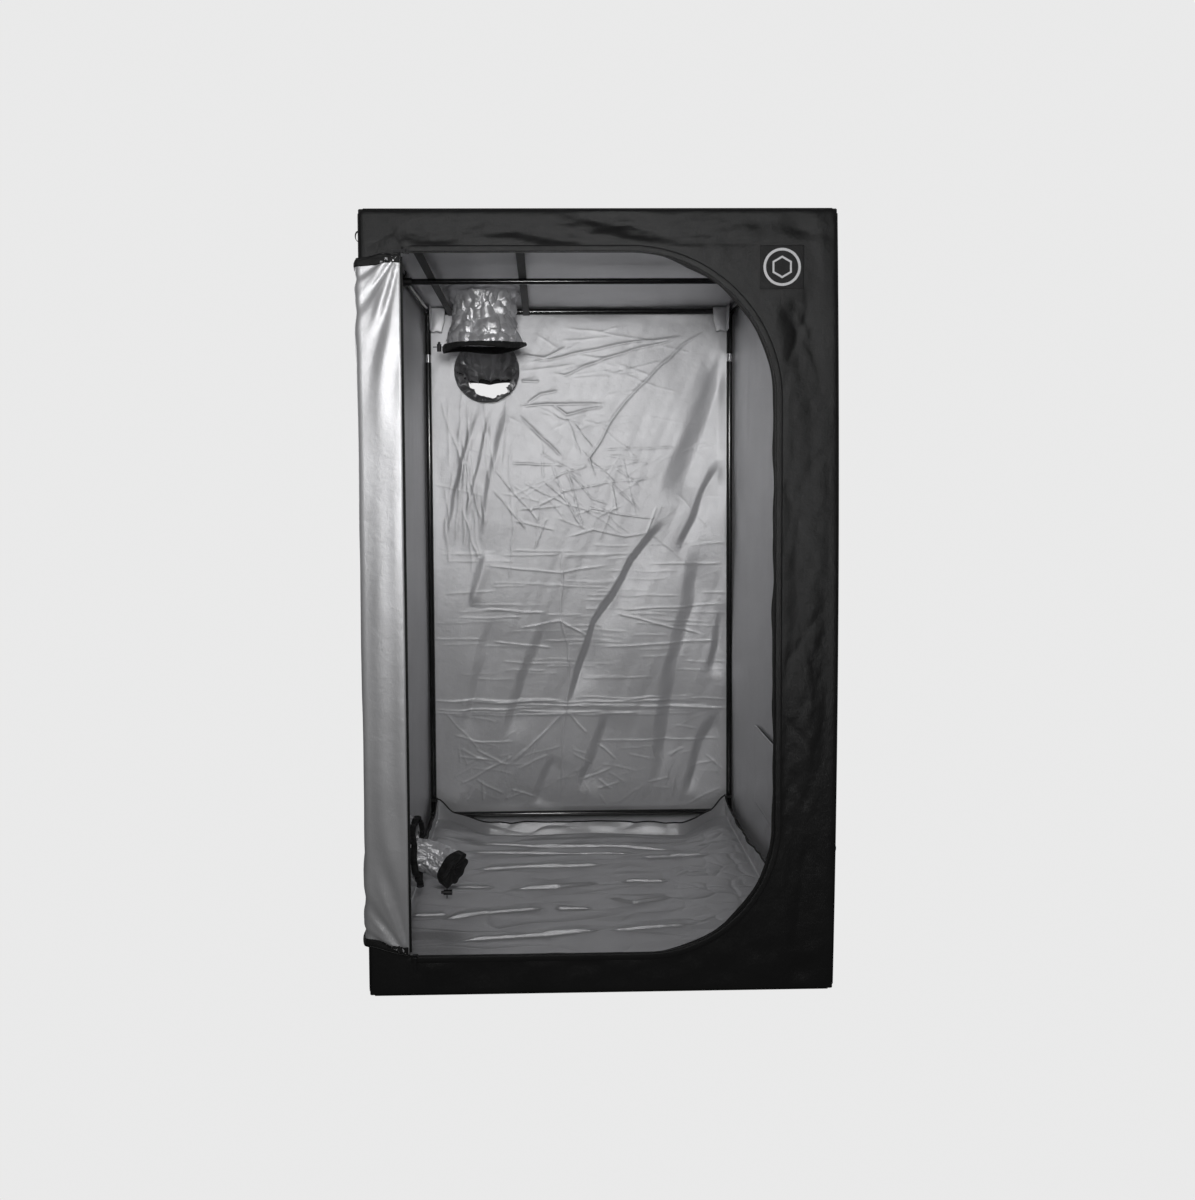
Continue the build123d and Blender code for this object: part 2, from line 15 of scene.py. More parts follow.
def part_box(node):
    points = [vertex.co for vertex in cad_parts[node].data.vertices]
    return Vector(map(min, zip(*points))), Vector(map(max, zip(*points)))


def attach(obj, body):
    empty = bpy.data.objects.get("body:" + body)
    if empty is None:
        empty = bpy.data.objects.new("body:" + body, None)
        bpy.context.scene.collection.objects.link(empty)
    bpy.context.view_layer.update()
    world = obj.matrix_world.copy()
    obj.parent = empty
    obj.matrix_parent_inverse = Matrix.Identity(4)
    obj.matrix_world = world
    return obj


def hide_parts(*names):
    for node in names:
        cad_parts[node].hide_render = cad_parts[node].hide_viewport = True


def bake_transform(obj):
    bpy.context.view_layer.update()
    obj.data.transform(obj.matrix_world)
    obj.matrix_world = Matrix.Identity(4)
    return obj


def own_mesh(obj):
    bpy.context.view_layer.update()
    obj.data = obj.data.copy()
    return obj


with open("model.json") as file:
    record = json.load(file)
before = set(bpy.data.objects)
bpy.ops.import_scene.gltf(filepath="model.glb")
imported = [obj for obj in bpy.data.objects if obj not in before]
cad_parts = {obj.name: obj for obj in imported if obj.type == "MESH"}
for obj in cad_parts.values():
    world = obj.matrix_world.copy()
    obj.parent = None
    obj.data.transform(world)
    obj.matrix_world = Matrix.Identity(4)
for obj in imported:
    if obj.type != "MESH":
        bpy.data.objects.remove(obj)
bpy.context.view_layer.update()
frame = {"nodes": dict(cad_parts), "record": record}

# ---- places read from the frame -----------------------------------------------
FRONT_LOW, FRONT_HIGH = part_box("front_panel")
HALF = FRONT_HIGH.x
TOP = FRONT_HIGH.z
FRONT_Y = FRONT_LOW.y
REAR_Y = -FRONT_Y
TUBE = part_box("rear_right_post")
TUBE_R = (TUBE[1].x - TUBE[0].x) / 2
TUBE_X = (TUBE[1].x + TUBE[0].x) / 2
CLOTH = 0.0008  # thickness of a sheet as it is shown
EDGE_R = 0.016  # how tightly the cloth turns round the tubes


def middle(node):
    """Centre of a CAD node's box."""
    low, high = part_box(node)
    return (low + high) / 2


# ---- materials ------------------------------------------------------------------
class Nodes:
    """Short way to build one material's node tree."""

    def __init__(self, name):
        self.material = bpy.data.materials.new(name)
        self.material.use_nodes = True
        self.tree = self.material.node_tree
        self.shader = self.tree.nodes["Principled BSDF"]
        self.place = self.add("ShaderNodeTexCoord").outputs["Object"]

    def add(self, kind, **values):
        node = self.tree.nodes.new(kind)
        for key, value in values.items():
            setattr(node, key, value)
        return node

    def join(self, a, b):
        self.tree.links.new(a, b)

    def mapped(self, scale):
        node = self.add("ShaderNodeMapping")
        node.inputs["Scale"].default_value = scale
        self.join(self.place, node.inputs["Vector"])
        return node.outputs["Vector"]

    def noise(self, scale, detail=3.0, rough=0.55, stretch=(1, 1, 1), warp=0.0):
        node = self.add("ShaderNodeTexNoise")
        node.inputs["Scale"].default_value = scale
        node.inputs["Detail"].default_value = detail
        node.inputs["Roughness"].default_value = rough
        node.inputs["Distortion"].default_value = warp
        self.join(self.mapped(stretch), node.inputs["Vector"])
        return node.outputs["Fac"]

    def weave(self, pitch):
        """Crossed ribs of that pitch in metres."""
        made = []
        for axis in ("X", "Z"):
            node = self.add("ShaderNodeTexWave", bands_direction=axis)
            node.inputs["Scale"].default_value = 0.314 / pitch
            node.inputs["Distortion"].default_value = 0.6
            self.join(self.place, node.inputs["Vector"])
            made.append(node.outputs["Fac"])
        both = self.add("ShaderNodeMath", operation="ADD")
        self.join(made[0], both.inputs[0])
        self.join(made[1], both.inputs[1])
        return both.outputs[0]

    def colour(self, fac, dark, light, low=0.3, high=0.7):
        ramp = self.add("ShaderNodeValToRGB")
        ramp.color_ramp.elements[0].position = low
        ramp.color_ramp.elements[1].position = high
        ramp.color_ramp.elements[0].color = (*dark, 1)
        ramp.color_ramp.elements[1].color = (*light, 1)
        self.join(fac, ramp.inputs["Fac"])
        self.join(ramp.outputs["Color"], self.shader.inputs["Base Color"])

    def rough(self, fac, low, high):
        node = self.add("ShaderNodeMapRange")
        node.inputs["To Min"].default_value = low
        node.inputs["To Max"].default_value = high
        self.join(fac, node.inputs["Value"])
        self.join(node.outputs["Result"], self.shader.inputs["Roughness"])

    def bump(self, fac, distance, before=None):
        node = self.add("ShaderNodeBump")
        node.inputs["Distance"].default_value = distance
        self.join(fac, node.inputs["Height"])
        if before is not None:
            self.join(before, node.inputs["Normal"])
        self.join(node.outputs["Normal"], self.shader.inputs["Normal"])
        return node.outputs["Normal"]

    def set(self, **values):
        for key, value in values.items():
            self.shader.inputs[key.replace("_", " ")].default_value = value


def grey(value):
    return (value, value, value * 1.02)


def finish(name, dark, light, spots, rough=None, bump=None, weave=None, **values):
    """Material with a patchy grey, patchy roughness, a fine bump and a weave.

    spots is a noise's size and detail. rough is a noise and its two limits, bump is a noise and
    its height in metres, and weave is its pitch and height in metres.
    """
    n = Nodes(name)
    n.colour(n.noise(*spots), grey(dark), grey(light))
    if rough:
        n.rough(n.noise(*rough[:-2]), *rough[-2:])
    under = n.bump(n.noise(*bump[:-1]), bump[-1]) if bump else None
    if weave:
        n.bump(n.weave(weave[0]), weave[1], under)
    n.set(**values)
    return n.material


def silver(name, tone, metal, low, high, crinkle):
    bump = (38.0, 6, 0.62, (1, 1, 1), 0.4, crinkle)
    return finish(name, tone * 0.93, tone, (5.0, 5, 0.6), (25.0, 4, low, high), bump,
                  (0.0011, 0.00006), Metallic=metal)


def hem_cloth(name, tone):
    return finish(name, tone * 0.7, tone * 1.4, (30.0, 3), (90.0, 2, 0.55, 0.75),
                  (160.0, 4, 0.0012), (0.0016, 0.0002), Sheen_Weight=0.05)


def plated(name, tone, low, high):
    brushed = (300.0, 3, 0.55, (1, 1, 0.1), low, high)
    return finish(name, tone * 0.8, tone, (200.0, 3), brushed, (700.0, 2, 0.00003), Metallic=1.0)


def plastic(name, tone, rough):
    return finish(name, tone * 0.85, tone * 1.15, (90.0, 2), (400.0, 3, rough - 0.06, rough + 0.06),
                  (900.0, 2, 0.00005))


def mesh_cloth():
    n = Nodes("vent_mesh")
    n.colour(n.weave(0.0016), grey(0.008), grey(0.05), 0.8, 1.4)
    n.bump(n.weave(0.0016), 0.0004)
    n.set(Roughness=0.55)
    return n.material


MATERIALS = {
    "outer_fabric": finish("outer_fabric", 0.007, 0.013, (7.0, 4), (40.0, 3, 0.34, 0.50),
                           (55.0, 5, 0.6, 0.0016), (0.0011, 0.00012),
                           Sheen_Weight=0.04, Sheen_Roughness=0.4, Specular_IOR_Level=0.55),
    "silver_lining": silver("silver_lining", 0.78, 0.55, 0.38, 0.52, 0.0011),
    "foil": silver("sleeve_foil", 0.88, 0.62, 0.28, 0.42, 0.002),
    # Darker copy of the sleeve foil: painted shade for the dim inside of the rear sleeve.
    "painted_shade_foil": silver("rear_foil_painted_shade", 0.50, 0.90, 0.26, 0.36, 0.002),
    "tray_cloth": silver("tray_cloth", 0.60, 0.42, 0.26, 0.34, 0.0012),
    "black_hem": hem_cloth("black_hem", 0.008),
    "webbing": finish("webbing", 0.012, 0.024, (60.0, 2), weave=(0.0022, 0.0005),
                      Roughness=0.6, Sheen_Weight=0.2),
    "drawcord": finish("drawcord", 0.01, 0.022, (300.0, 2), weave=(0.0012, 0.0003), Roughness=0.65),
    "vent_mesh": mesh_cloth(),
    "black_tube": finish("black_tube", 0.006, 0.011, (12.0, 3), (60.0, 3, 0.13, 0.24),
                         (500.0, 2, 0.00006), Coat_Weight=0.5, Coat_Roughness=0.08),
    "bare_steel": plated("bare_steel", 0.75, 0.2, 0.34),
    "spring_steel": plated("spring_steel", 0.6, 0.2, 0.3),
    "zip_metal": plated("zip_metal", 0.10, 0.24, 0.36),
    "connector_plastic": plastic("connector_plastic", 0.012, 0.42),
    "lock_plastic": plastic("lock_plastic", 0.016, 0.36),
    "zip_coil": plastic("zip_coil", 0.01, 0.4),
    "badge": hem_cloth("badge_cloth", 0.014),
    "badge_ink": finish("badge_ink", 0.62, 0.75, (400.0, 3), (200.0, 2, 0.45, 0.6),
                        weave=(0.0011, 0.00008)),
}


def paint_cad_nodes():
    """Give each CAD node that stays in view its finished material."""
    slots = {s["node"]: s["material_slot"] for s in frame["record"]["subparts"]}
    for node, obj in frame["nodes"].items():
        material = MATERIALS[slots[node]]
        if not obj.material_slots:
            obj.data.materials.append(material)
        for holder in obj.material_slots:
            holder.material = material


# ---- shapes of folds ------------------------------------------------------------
def smooth(t):
    t = np.clip(t, 0, 1)
    return t * t * (3 - 2 * t)


def ripples(u, v, seed, length, count=14, stretch=1.0):
    """Gentle seeded waves about -1 to 1; stretch lengthens them along v."""
    rng = np.random.default_rng(seed)
    total = np.zeros_like(u, float)
    for _ in range(count):
        turn = rng.uniform(0, 2 * math.pi)
        size = length * rng.uniform(0.6, 1.7)
        a, b = math.cos(turn) / size, math.sin(turn) / (size * stretch)
        total += np.sin(2 * math.pi * (a * u + b * v) + rng.uniform(0, 6.28))
    return total / math.sqrt(count)


def crumple(u, v, seed, cell):
    """Faceted cloth: sharp ridges between seeded cells, 0 to about 1."""
    rng = np.random.default_rng(seed)
    low_u, high_u, low_v, high_v = u.min(), u.max(), v.min(), v.max()
    count = int(max(6, 1.3 * (high_u - low_u) * (high_v - low_v) / cell**2))
    best = np.full(u.shape, 9.0)
    for _ in range(count):
        cu, cv = rng.uniform(low_u, high_u), rng.uniform(low_v, high_v)
        turn, pull = rng.uniform(0, math.pi), rng.uniform(1.0, 2.2)
        du = (u - cu) * math.cos(turn) + (v - cv) * math.sin(turn)
        dv = (v - cv) * math.cos(turn) - (u - cu) * math.sin(turn)
        best = np.minimum(best, np.hypot(du, dv * pull) / cell)
    return np.clip(best, 0, 2)


def along(u, v, a, b):
    """Distance to the line through a and b, signed, and how far along it, 0 to 1."""
    ax, ay = a
    dx, dy = b[0] - a[0], b[1] - a[1]
    long = math.hypot(dx, dy)
    t = ((u - ax) * dx + (v - ay) * dy) / long**2
    side = ((u - ax) * dy - (v - ay) * dx) / long
    beyond = np.maximum(np.maximum(-t, t - 1), 0) * long
    return np.hypot(side, beyond) * np.sign(side), np.clip(t, 0, 1)


def run_distance(u, v, points):
    """Signed distance to a run of points, and how far along the run, 0 to 1."""
    best = np.full(u.shape, 9.0)
    place = np.zeros(u.shape)
    lengths = [math.dist(a, b) for a, b in zip(points, points[1:])]
    done = 0.0
    for a, b, long in zip(points, points[1:], lengths):
        side, t = along(u, v, a, b)
        near = np.abs(side) < np.abs(best)
        best = np.where(near, side, best)
        place = np.where(near, (done + t * long) / sum(lengths), place)
        done += long
    return best, place


def taper(place, share=0.15):
    """Fades a fold away at both ends of its run."""
    return smooth(place / share + 0.1) * smooth((1 - place) / share + 0.1)


def groove(u, v, points, depth, width):
    """Sharp crease along a run."""
    side, place = run_distance(u, v, points)
    return -depth * np.exp(-np.abs(side) / width) * taper(place)


def pleat(u, v, points, height, steep, back):
    """One-sided fold along a run that goes downwards: a steep face, then a long slope back."""
    side, place = run_distance(u, v, points)
    right = -side
    face = smooth((right + steep / 2) / steep)
    return height * face * np.exp(-np.maximum(right - steep / 2, 0) / back) * taper(place, 0.25)


def hairlines(u, v, seed, count, low, high, length, slant, depth, width):
    """Many short, nearly level creases between the corners low and high."""
    rng = np.random.default_rng(seed)
    total = np.zeros_like(u, float)
    for _ in range(count):
        cu, cv = rng.uniform(low[0], high[0]), rng.uniform(low[1], high[1])
        half = length * rng.uniform(0.4, 1.0) / 2
        turn = slant * rng.normal()
        bend = rng.uniform(-0.03, 0.03) * half
        du, dv = half * math.cos(turn), half * math.sin(turn)
        points = [(cu - du, cv - dv), (cu, cv + bend), (cu + du, cv + dv)]
        total += groove(u, v, points, depth * rng.uniform(0.4, 1.0), width)
    return total


def crease_net(u, v, seed, cell, width):
    """Network of sharp creases between seeded cells: 1 on a crease, 0 inside a cell."""
    rng = np.random.default_rng(seed)
    u = u + 0.12 * cell * ripples(u, v, seed + 1, cell * 1.5, 6)
    v = v + 0.12 * cell * ripples(u, v, seed + 2, cell * 1.5, 6)
    low_u, high_u, low_v, high_v = u.min(), u.max(), v.min(), v.max()
    count = int(1.2 * (high_u - low_u) * (high_v - low_v) / cell**2)
    first = np.full(u.shape, 9.0)
    second = np.full(u.shape, 9.0)
    for _ in range(count):
        d = np.hypot(u - rng.uniform(low_u, high_u), v - rng.uniform(low_v, high_v))
        second = np.minimum(second, np.maximum(first, d))
        first = np.minimum(first, d)
    return np.exp(-(second - first) / width)


# ---- meshes ---------------------------------------------------------------------
def mesh_object(name, points, faces, slots, shade=True):
    mesh = bpy.data.meshes.new(name)
    mesh.from_pydata([tuple(p) for p in points], [], faces)
    for slot_name in slots:
        mesh.materials.append(MATERIALS[slot_name])
    mesh.polygons.foreach_set("use_smooth", [shade] * len(mesh.polygons))
    mesh.update()
    obj = bpy.data.objects.new(name, mesh)
    bpy.context.scene.collection.objects.link(obj)
    return obj


def drop_loose(obj):
    """Remove the points that no face uses."""
    mesh = obj.data
    used = np.zeros(len(mesh.vertices), bool)
    corner = np.zeros(len(mesh.loops), np.int32)
    mesh.loops.foreach_get("vertex_index", corner)
    used[corner] = True
    if used.all():
        return
    b = bmesh.new()
    b.from_mesh(mesh)
    b.verts.ensure_lookup_table()
    bmesh.ops.delete(b, geom=[b.verts[i] for i in np.flatnonzero(~used)], context="VERTS")
    b.to_mesh(mesh)
    b.free()


def sheet(name, points, outer, inner, keep=None, wrap=False, thick=CLOTH, flip=False):
    """Cloth from a grid of points: outer slot on its outside, inner on its other side."""
    nu, nv = points.shape[:2]
    columns = nu if wrap else nu - 1
    faces = []
    for i in range(columns):
        j = (i + 1) % nu
        for k in range(nv - 1):
            if keep is not None and not keep[i, k]:
                continue
            quad = (i * nv + k, j * nv + k, j * nv + k + 1, i * nv + k + 1)
            faces.append(quad[::-1] if flip else quad)
    obj = mesh_object(name, points.reshape(-1, 3), faces, [outer, inner])
    drop_loose(obj)
    solid = obj.modifiers.new("cloth", "SOLIDIFY")
    solid.thickness = thick
    solid.offset = 0
    solid.use_rim = True
    solid.material_offset = 1 if inner != outer else 0
    return obj


def fix(obj, node=None, body="root"):
    """The piece moves with that body, and stands for that CAD node if one is named."""
    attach(obj, body)
    if node:
        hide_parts(node)
    return obj


def tube_along(name, points, radius, slot_name, closed=False, sides=10):
    """Round bar along points."""
    curve = bpy.data.curves.new(name, "CURVE")
    curve.dimensions = "3D"
    spline = curve.splines.new("POLY")
    spline.points.add(len(points) - 1)
    for target, p in zip(spline.points, points):
        target.co = (*p, 1)
    spline.use_cyclic_u = closed
    curve.bevel_depth = radius
    curve.bevel_resolution = max(1, sides // 4)
    curve.use_fill_caps = True
    source = bpy.data.objects.new(name + "_path", curve)
    bpy.context.scene.collection.objects.link(source)
    bpy.context.view_layer.update()
    mesh = bpy.data.meshes.new_from_object(source.evaluated_get(bpy.context.evaluated_depsgraph_get()))
    bpy.data.objects.remove(source)
    mesh.materials.clear()
    mesh.materials.append(MATERIALS[slot_name])
    obj = bpy.data.objects.new(name, mesh)
    bpy.context.scene.collection.objects.link(obj)
    mesh.polygons.foreach_set("use_smooth", [True] * len(mesh.polygons))
    return obj


# ---- outlines -------------------------------------------------------------------
OPEN_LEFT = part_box("door_strip")[1].x + 0.003
ZIP_LOW, ZIP_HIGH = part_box("panel_zip")
OPEN_RIGHT, OPEN_BOTTOM, OPEN_TOP = ZIP_HIGH.x, ZIP_LOW.z, ZIP_HIGH.z
TOP_CURVE, BOTTOM_CURVE = 0.370, 0.330  # corner radii of the opening
VENT_CORNER = 0.030
HEM_THICK = 0.003
WEBBING_THICK = 0.0012


def d_shape(a, b, left, right, low, high, r_low, r_high):
    """Distance outside a box with both right corners rounded, negative inside it."""
    flat = np.maximum(np.maximum(left - a, a - right), np.maximum(low - b, b - high))
    top_a, top_b = right - r_high, high - r_high
    low_a, low_b = right - r_low, low + r_low
    flat = np.where((a > top_a) & (b > top_b), np.hypot(a - top_a, b - top_b) - r_high, flat)
    return np.where((a > low_a) & (b < low_b), np.hypot(a - low_a, b - low_b) - r_low, flat)


def d_run(left, right, low, high, r_low, r_high, step, gap):
    """Points round that shape: along its top, down its right side and back along its bottom."""
    run = [(a, high) for a in np.arange(left, right - r_high, step)]
    for turn in np.linspace(math.pi / 2, 0, int(r_high * 1.57 / step)):
        run.append((right - r_high + r_high * math.cos(turn), high - r_high + r_high * math.sin(turn)))
    run += [(right, b) for b in np.arange(high - r_high - gap, low + r_low, -step)]
    for turn in np.linspace(0, -math.pi / 2, int(r_low * 1.57 / step)):
        run.append((right - r_low + r_low * math.cos(turn), low + r_low + r_low * math.sin(turn)))
    return run + [(a, low) for a in np.arange(right - r_low - gap, left, -step)]


def outward_of(run):
    """Direction out of the shape at each point of its run."""
    along_run = np.gradient(run, axis=0)
    out = np.stack([-along_run[:, 1], along_run[:, 0]], -1)
    return out / (np.linalg.norm(out, axis=1, keepdims=True) + 1e-9)


def door_distance(x, z):
    """Distance outside the opening's outline, negative inside it."""
    return d_shape(x, z, OPEN_LEFT, OPEN_RIGHT, OPEN_BOTTOM, OPEN_TOP, BOTTOM_CURVE, TOP_CURVE)


def door_outline(outset=0.0, step=0.012):
    """Points (x, z) along the zip: top left, right, bottom left."""
    bottom = OPEN_BOTTOM - outset
    run = d_run(OPEN_LEFT, OPEN_RIGHT + outset, bottom, OPEN_TOP + outset,
                BOTTOM_CURVE + outset, TOP_CURVE + outset, step, step)
    return np.array(run + [(OPEN_LEFT, bottom)])


def round_box(y, z, low, high):
    """Distance outside a rounded rectangle on a side wall, negative inside it."""
    qy = np.abs(y - (low.y + high.y) / 2) - ((high.y - low.y) / 2 - VENT_CORNER)
    qz = np.abs(z - (low.z + high.z) / 2) - ((high.z - low.z) / 2 - VENT_CORNER)
    outside = np.hypot(np.maximum(qy, 0), np.maximum(qz, 0))
    return outside + np.minimum(np.maximum(qy, qz), 0) - VENT_CORNER


def snapped(u, v, distance, step):
    """Move grid points that lie near an outline onto it."""
    e = 1e-4
    d = distance(u, v)
    gu = (distance(u + e, v) - distance(u - e, v)) / (2 * e)
    gv = (distance(u, v + e) - distance(u, v - e)) / (2 * e)
    near = np.abs(d) < 0.55 * step
    return np.where(near, u - d * gu, u), np.where(near, v - d * gv, v)


def grid(low_u, high_u, low_v, high_v, step, step_v=None):
    nu = int((high_u - low_u) / step) + 1
    nv = int((high_v - low_v) / (step_v or step)) + 1
    return np.meshgrid(np.linspace(low_u, high_u, nu), np.linspace(low_v, high_v, nv), indexing="ij")


def turned_in(t, half):
    """Place along a panel and depth behind it, where its edge turns round the tube."""
    straight = half - EDGE_R
    angle = np.clip(np.abs(t) - straight, 0, None) / EDGE_R
    place = np.where(angle > 0, np.sign(t) * (straight + EDGE_R * np.sin(angle)), t)
    return place, np.where(angle > 0, EDGE_R * (1 - np.cos(angle)), 0.0)


def edge_fade(u, v, half_u, half_v, reach=0.06):
    return smooth((half_u - np.abs(u)) / reach) * smooth((half_v - np.abs(v)) / reach)


def cell_middles(a, b):
    return (a[:-1, :-1] + a[1:, 1:]) / 2, (b[:-1, :-1] + b[1:, 1:]) / 2


def panel(wall, half_u, half_v, step, shape, outline=None):
    """One wall of the tent. shape gives how far the cloth stands out, in metres."""
    place, flip = WALLS[wall]
    run = EDGE_R * math.pi / 4
    far_u, far_v = half_u - EDGE_R + run, half_v - EDGE_R + run
    u, v = grid(-far_u, far_u, -far_v, far_v, step)
    pu, du = turned_in(u, half_u)
    pv, dv = turned_in(v, half_v)
    keep = None
    if outline is not None:
        pu, pv = snapped(pu, pv, outline, step)
        keep = outline(*cell_middles(pu, pv)) > 0
    out = shape(pu, pv) * edge_fade(pu, pv, half_u, half_v)
    points = bowed(np.stack(place(pu, pv, du + dv - out), -1))
    cloth = sheet(f"{wall}_cloth", points, "outer_fabric", "silver_lining", keep, flip=flip)
    fix(cloth, f"{wall}_panel")


def bowed(points):
    """The slack right side stands off its post at mid height."""
    x, y, z = points[..., 0], points[..., 1], points[..., 2]
    t = z / TOP
    stand = 0.009 * np.clip(4 * t * (1 - t), 0, 1)
    moved = points.copy()
    moved[..., 0] = x + stand * smooth((x - 0.48) / 0.12) * smooth((0.2 - y) / 0.6)
    return moved


MID = TOP / 2


WALLS = {
    # Place of a point from its place on the wall and its depth inward, and which way it faces.
    "front": (lambda u, v, depth: (u, FRONT_Y + depth, MID + v), False),
    "rear": (lambda u, v, depth: (u, REAR_Y - depth, MID + v), True),
    "left": (lambda u, v, depth: (-HALF + depth, u, MID + v), True),
    "right": (lambda u, v, depth: (HALF - depth, u, MID + v), False),
    "roof": (lambda u, v, depth: (u, v, TOP - depth), False),
    "floor": (lambda u, v, depth: (u, v, 0.0012 + depth), True),
}

# ---- the rear wall's creases, as (x, z) on the wall --------------------------------
CORNER_PULL = [
    [(0.50, 1.92), (0.37, 1.83), (0.18, 1.64), (0.11, 1.54), (0.04, 1.42), (0.07, 1.32)],
    [(0.41, 1.89), (0.15, 1.86), (-0.08, 1.81), (-0.21, 1.79)],
    [(0.41, 1.89), (0.11, 1.81), (-0.06, 1.74), (-0.11, 1.75)],
]
PORT_PULL = [
    [(-0.05, 1.85), (-0.14, 1.81), (-0.22, 1.82)],
    [(-0.21, 1.63), (-0.15, 1.67), (-0.08, 1.68)],
    [(-0.24, 1.62), (-0.12, 1.63), (0.10, 1.63)],
    [(-0.11, 1.63), (-0.05, 1.59), (0.09, 1.62)],
    [(-0.24, 1.59), (-0.15, 1.50), (-0.06, 1.42)],
    [(-0.23, 1.72), (-0.15, 1.72)],
]
FINE = [
    [(-0.05, 1.58), (-0.02, 1.49), (0.00, 1.43)],
    [(-0.03, 1.56), (0.05, 1.46)],
    [(-0.15, 1.34), (-0.05, 1.25), (0.01, 1.14)],
    [(-0.05, 1.38), (-0.02, 1.25), (0.01, 1.15)],
    [(-0.05, 1.37), (0.05, 1.26), (0.11, 1.24)],
    [(0.15, 1.20), (0.12, 1.32), (0.24, 1.21)],
    [(0.01, 1.23), (0.15, 1.20), (0.30, 1.18)],
    [(-0.05, 1.11), (0.05, 1.14), (0.18, 1.11), (0.28, 1.13)],
    [(-0.34, 1.30), (-0.21, 1.14)],
    [(-0.34, 1.38), (-0.15, 1.16)],
    [(-0.06, 0.42), (-0.25, 0.24)],
    [(-0.33, 0.21), (-0.48, 0.13)],
    [(-0.05, 0.41), (0.02, 0.33)],
    [(0.06, 0.29), (0.14, 0.22)],
    [(-0.24, 0.75), (-0.08, 0.78), (0.02, 0.72)],
    [(0.13, 0.81), (0.48, 0.72)],
]
PACKING = [
    [(-0.07, 1.13), (-0.08, 0.80), (-0.05, 0.68), (-0.05, 0.51), (-0.07, 0.36), (-0.08, 0.05)],
    [(-0.37, 1.00), (-0.08, 0.97), (0.11, 1.00)],
    [(-0.39, 0.83), (-0.14, 0.81)],
    [(0.15, 0.82), (0.57, 0.84)],
    [(-0.35, 0.70), (-0.11, 0.67)],
    [(0.07, 0.67), (0.57, 0.70)],
    [(-0.50, 0.45), (-0.08, 0.465)],
    [(-0.05, 0.44), (0.31, 0.475)],
    [(0.03, 0.43), (0.55, 0.43)],
    [(-0.50, 0.425), (-0.10, 0.435)],
    [(0.05, 0.30), (0.57, 0.30)],
    [(-0.45, 0.30), (-0.26, 0.30)],
    [(0.07, 1.45), (0.38, 1.46)],
    [(-0.26, 1.40), (-0.05, 1.39)],
]
SLANTS = [
    # Each is a run down the wall, then its height, the width of its steep face, and its long slope.
    ([(0.34, 1.18), (0.28, 1.12), (0.20, 1.02), (0.17, 0.95), (0.05, 0.77), (0.00, 0.62), (-0.05, 0.45)],
     0.026, 0.034, 0.07),
    ([(0.54, 1.84), (0.44, 1.52), (0.33, 1.24)], 0.022, 0.100, 0.14),
    ([(-0.40, 1.61), (-0.46, 1.42), (-0.50, 1.26), (-0.53, 1.07)], -0.006, 0.024, 0.05),
    ([(-0.35, 1.61), (-0.40, 1.38), (-0.46, 1.18)], -0.005, 0.018, 0.03),
    ([(-0.29, 1.62), (-0.36, 1.34), (-0.40, 1.07)], -0.007, 0.028, 0.06),
    ([(-0.38, 1.06), (-0.44, 0.84)], -0.008, 0.030, 0.05),
    ([(0.55, 1.42), (0.48, 1.29), (0.44, 1.18), (0.37, 1.04)], 0.014, 0.035, 0.06),
    ([(0.45, 1.12), (0.42, 0.85), (0.35, 0.59), (0.28, 0.12)], 0.016, 0.060, 0.10),
    ([(0.53, 0.42), (0.47, 0.30), (0.40, 0.08)], 0.013, 0.045, 0.07),
    ([(0.10, 0.43), (0.06, 0.30), (-0.02, 0.10)], 0.010, 0.050, 0.08),
    ([(-0.14, 0.80), (-0.27, 0.47), (-0.30, 0.30)], 0.010, 0.045, 0.09),
    ([(-0.36, 0.80), (-0.44, 0.48), (-0.48, 0.30)], 0.008, 0.045, 0.09),
    ([(-0.12, 0.25), (-0.20, 0.04)], 0.008, 0.040, 0.06),
    ([(0.57, 0.86), (0.50, 0.55)], 0.010, 0.040, 0.06),
]


REAR_HAIRS = [
    # Seed, count, corners of the patch, length, slant, depth and width.
    (11, 34, (-0.20, 1.12), (0.28, 1.45), 0.24, 0.9, 0.0026, 0.0024),
    (12, 46, (-0.5, 0.05), (0.55, 0.26), 0.14, 0.9, 0.0022, 0.0026),
    (13, 70, (-0.5, 0.55), (0.55, 1.08), 0.32, 0.03, 0.0014, 0.0024),
    (14, 22, (-0.5, 0.405), (0.55, 0.475), 0.55, 0.012, 0.0028, 0.0024),
    (15, 30, (-0.5, 1.15), (0.55, 1.85), 0.25, 0.5, 0.0012, 0.0024),
    (19, 26, (-0.15, 1.50), (0.25, 1.95), 0.22, 0.25, 0.0016, 0.0030),
    (16, 22, (-0.5, 0.05), (0.55, 0.40), 0.22, 0.5, 0.0014, 0.0024),
]


def rear_shape(x, v):
    """The rear wall: tension folds, packing creases and the one deep slanting fold."""
    z = v + MID
    h = 0.003 * ripples(x, z, 3, 0.6, 8)
    h += 0.0006 * ripples(x * 1.6 - z * 0.5, z, 5, 0.10, 14, 3.0)
    x, z = x + 0.003 * ripples(x, z, 17, 0.12, 8), z + 0.0015 * ripples(x, z, 18, 0.12, 8)
    for runs, depth, width in (
        (CORNER_PULL, 0.0042, 0.0032),
        (PORT_PULL, 0.0040, 0.0036),
        (FINE, 0.0028, 0.0022),
        (PACKING, 0.0022, 0.0022),
    ):
        for run in runs:
            h += groove(x, z, run, depth, width)
    for points, height, steep, back in SLANTS:
        h += pleat(x, z, points, height, steep, back)
    for hairs in REAR_HAIRS:
        h += hairlines(x, z, *hairs)
    # Upright ones below the port.
    return h + hairlines(z, x, 20, 26, (1.05, -0.54), (1.62, -0.26), 0.40, 0.12, 0.0030, 0.0045)


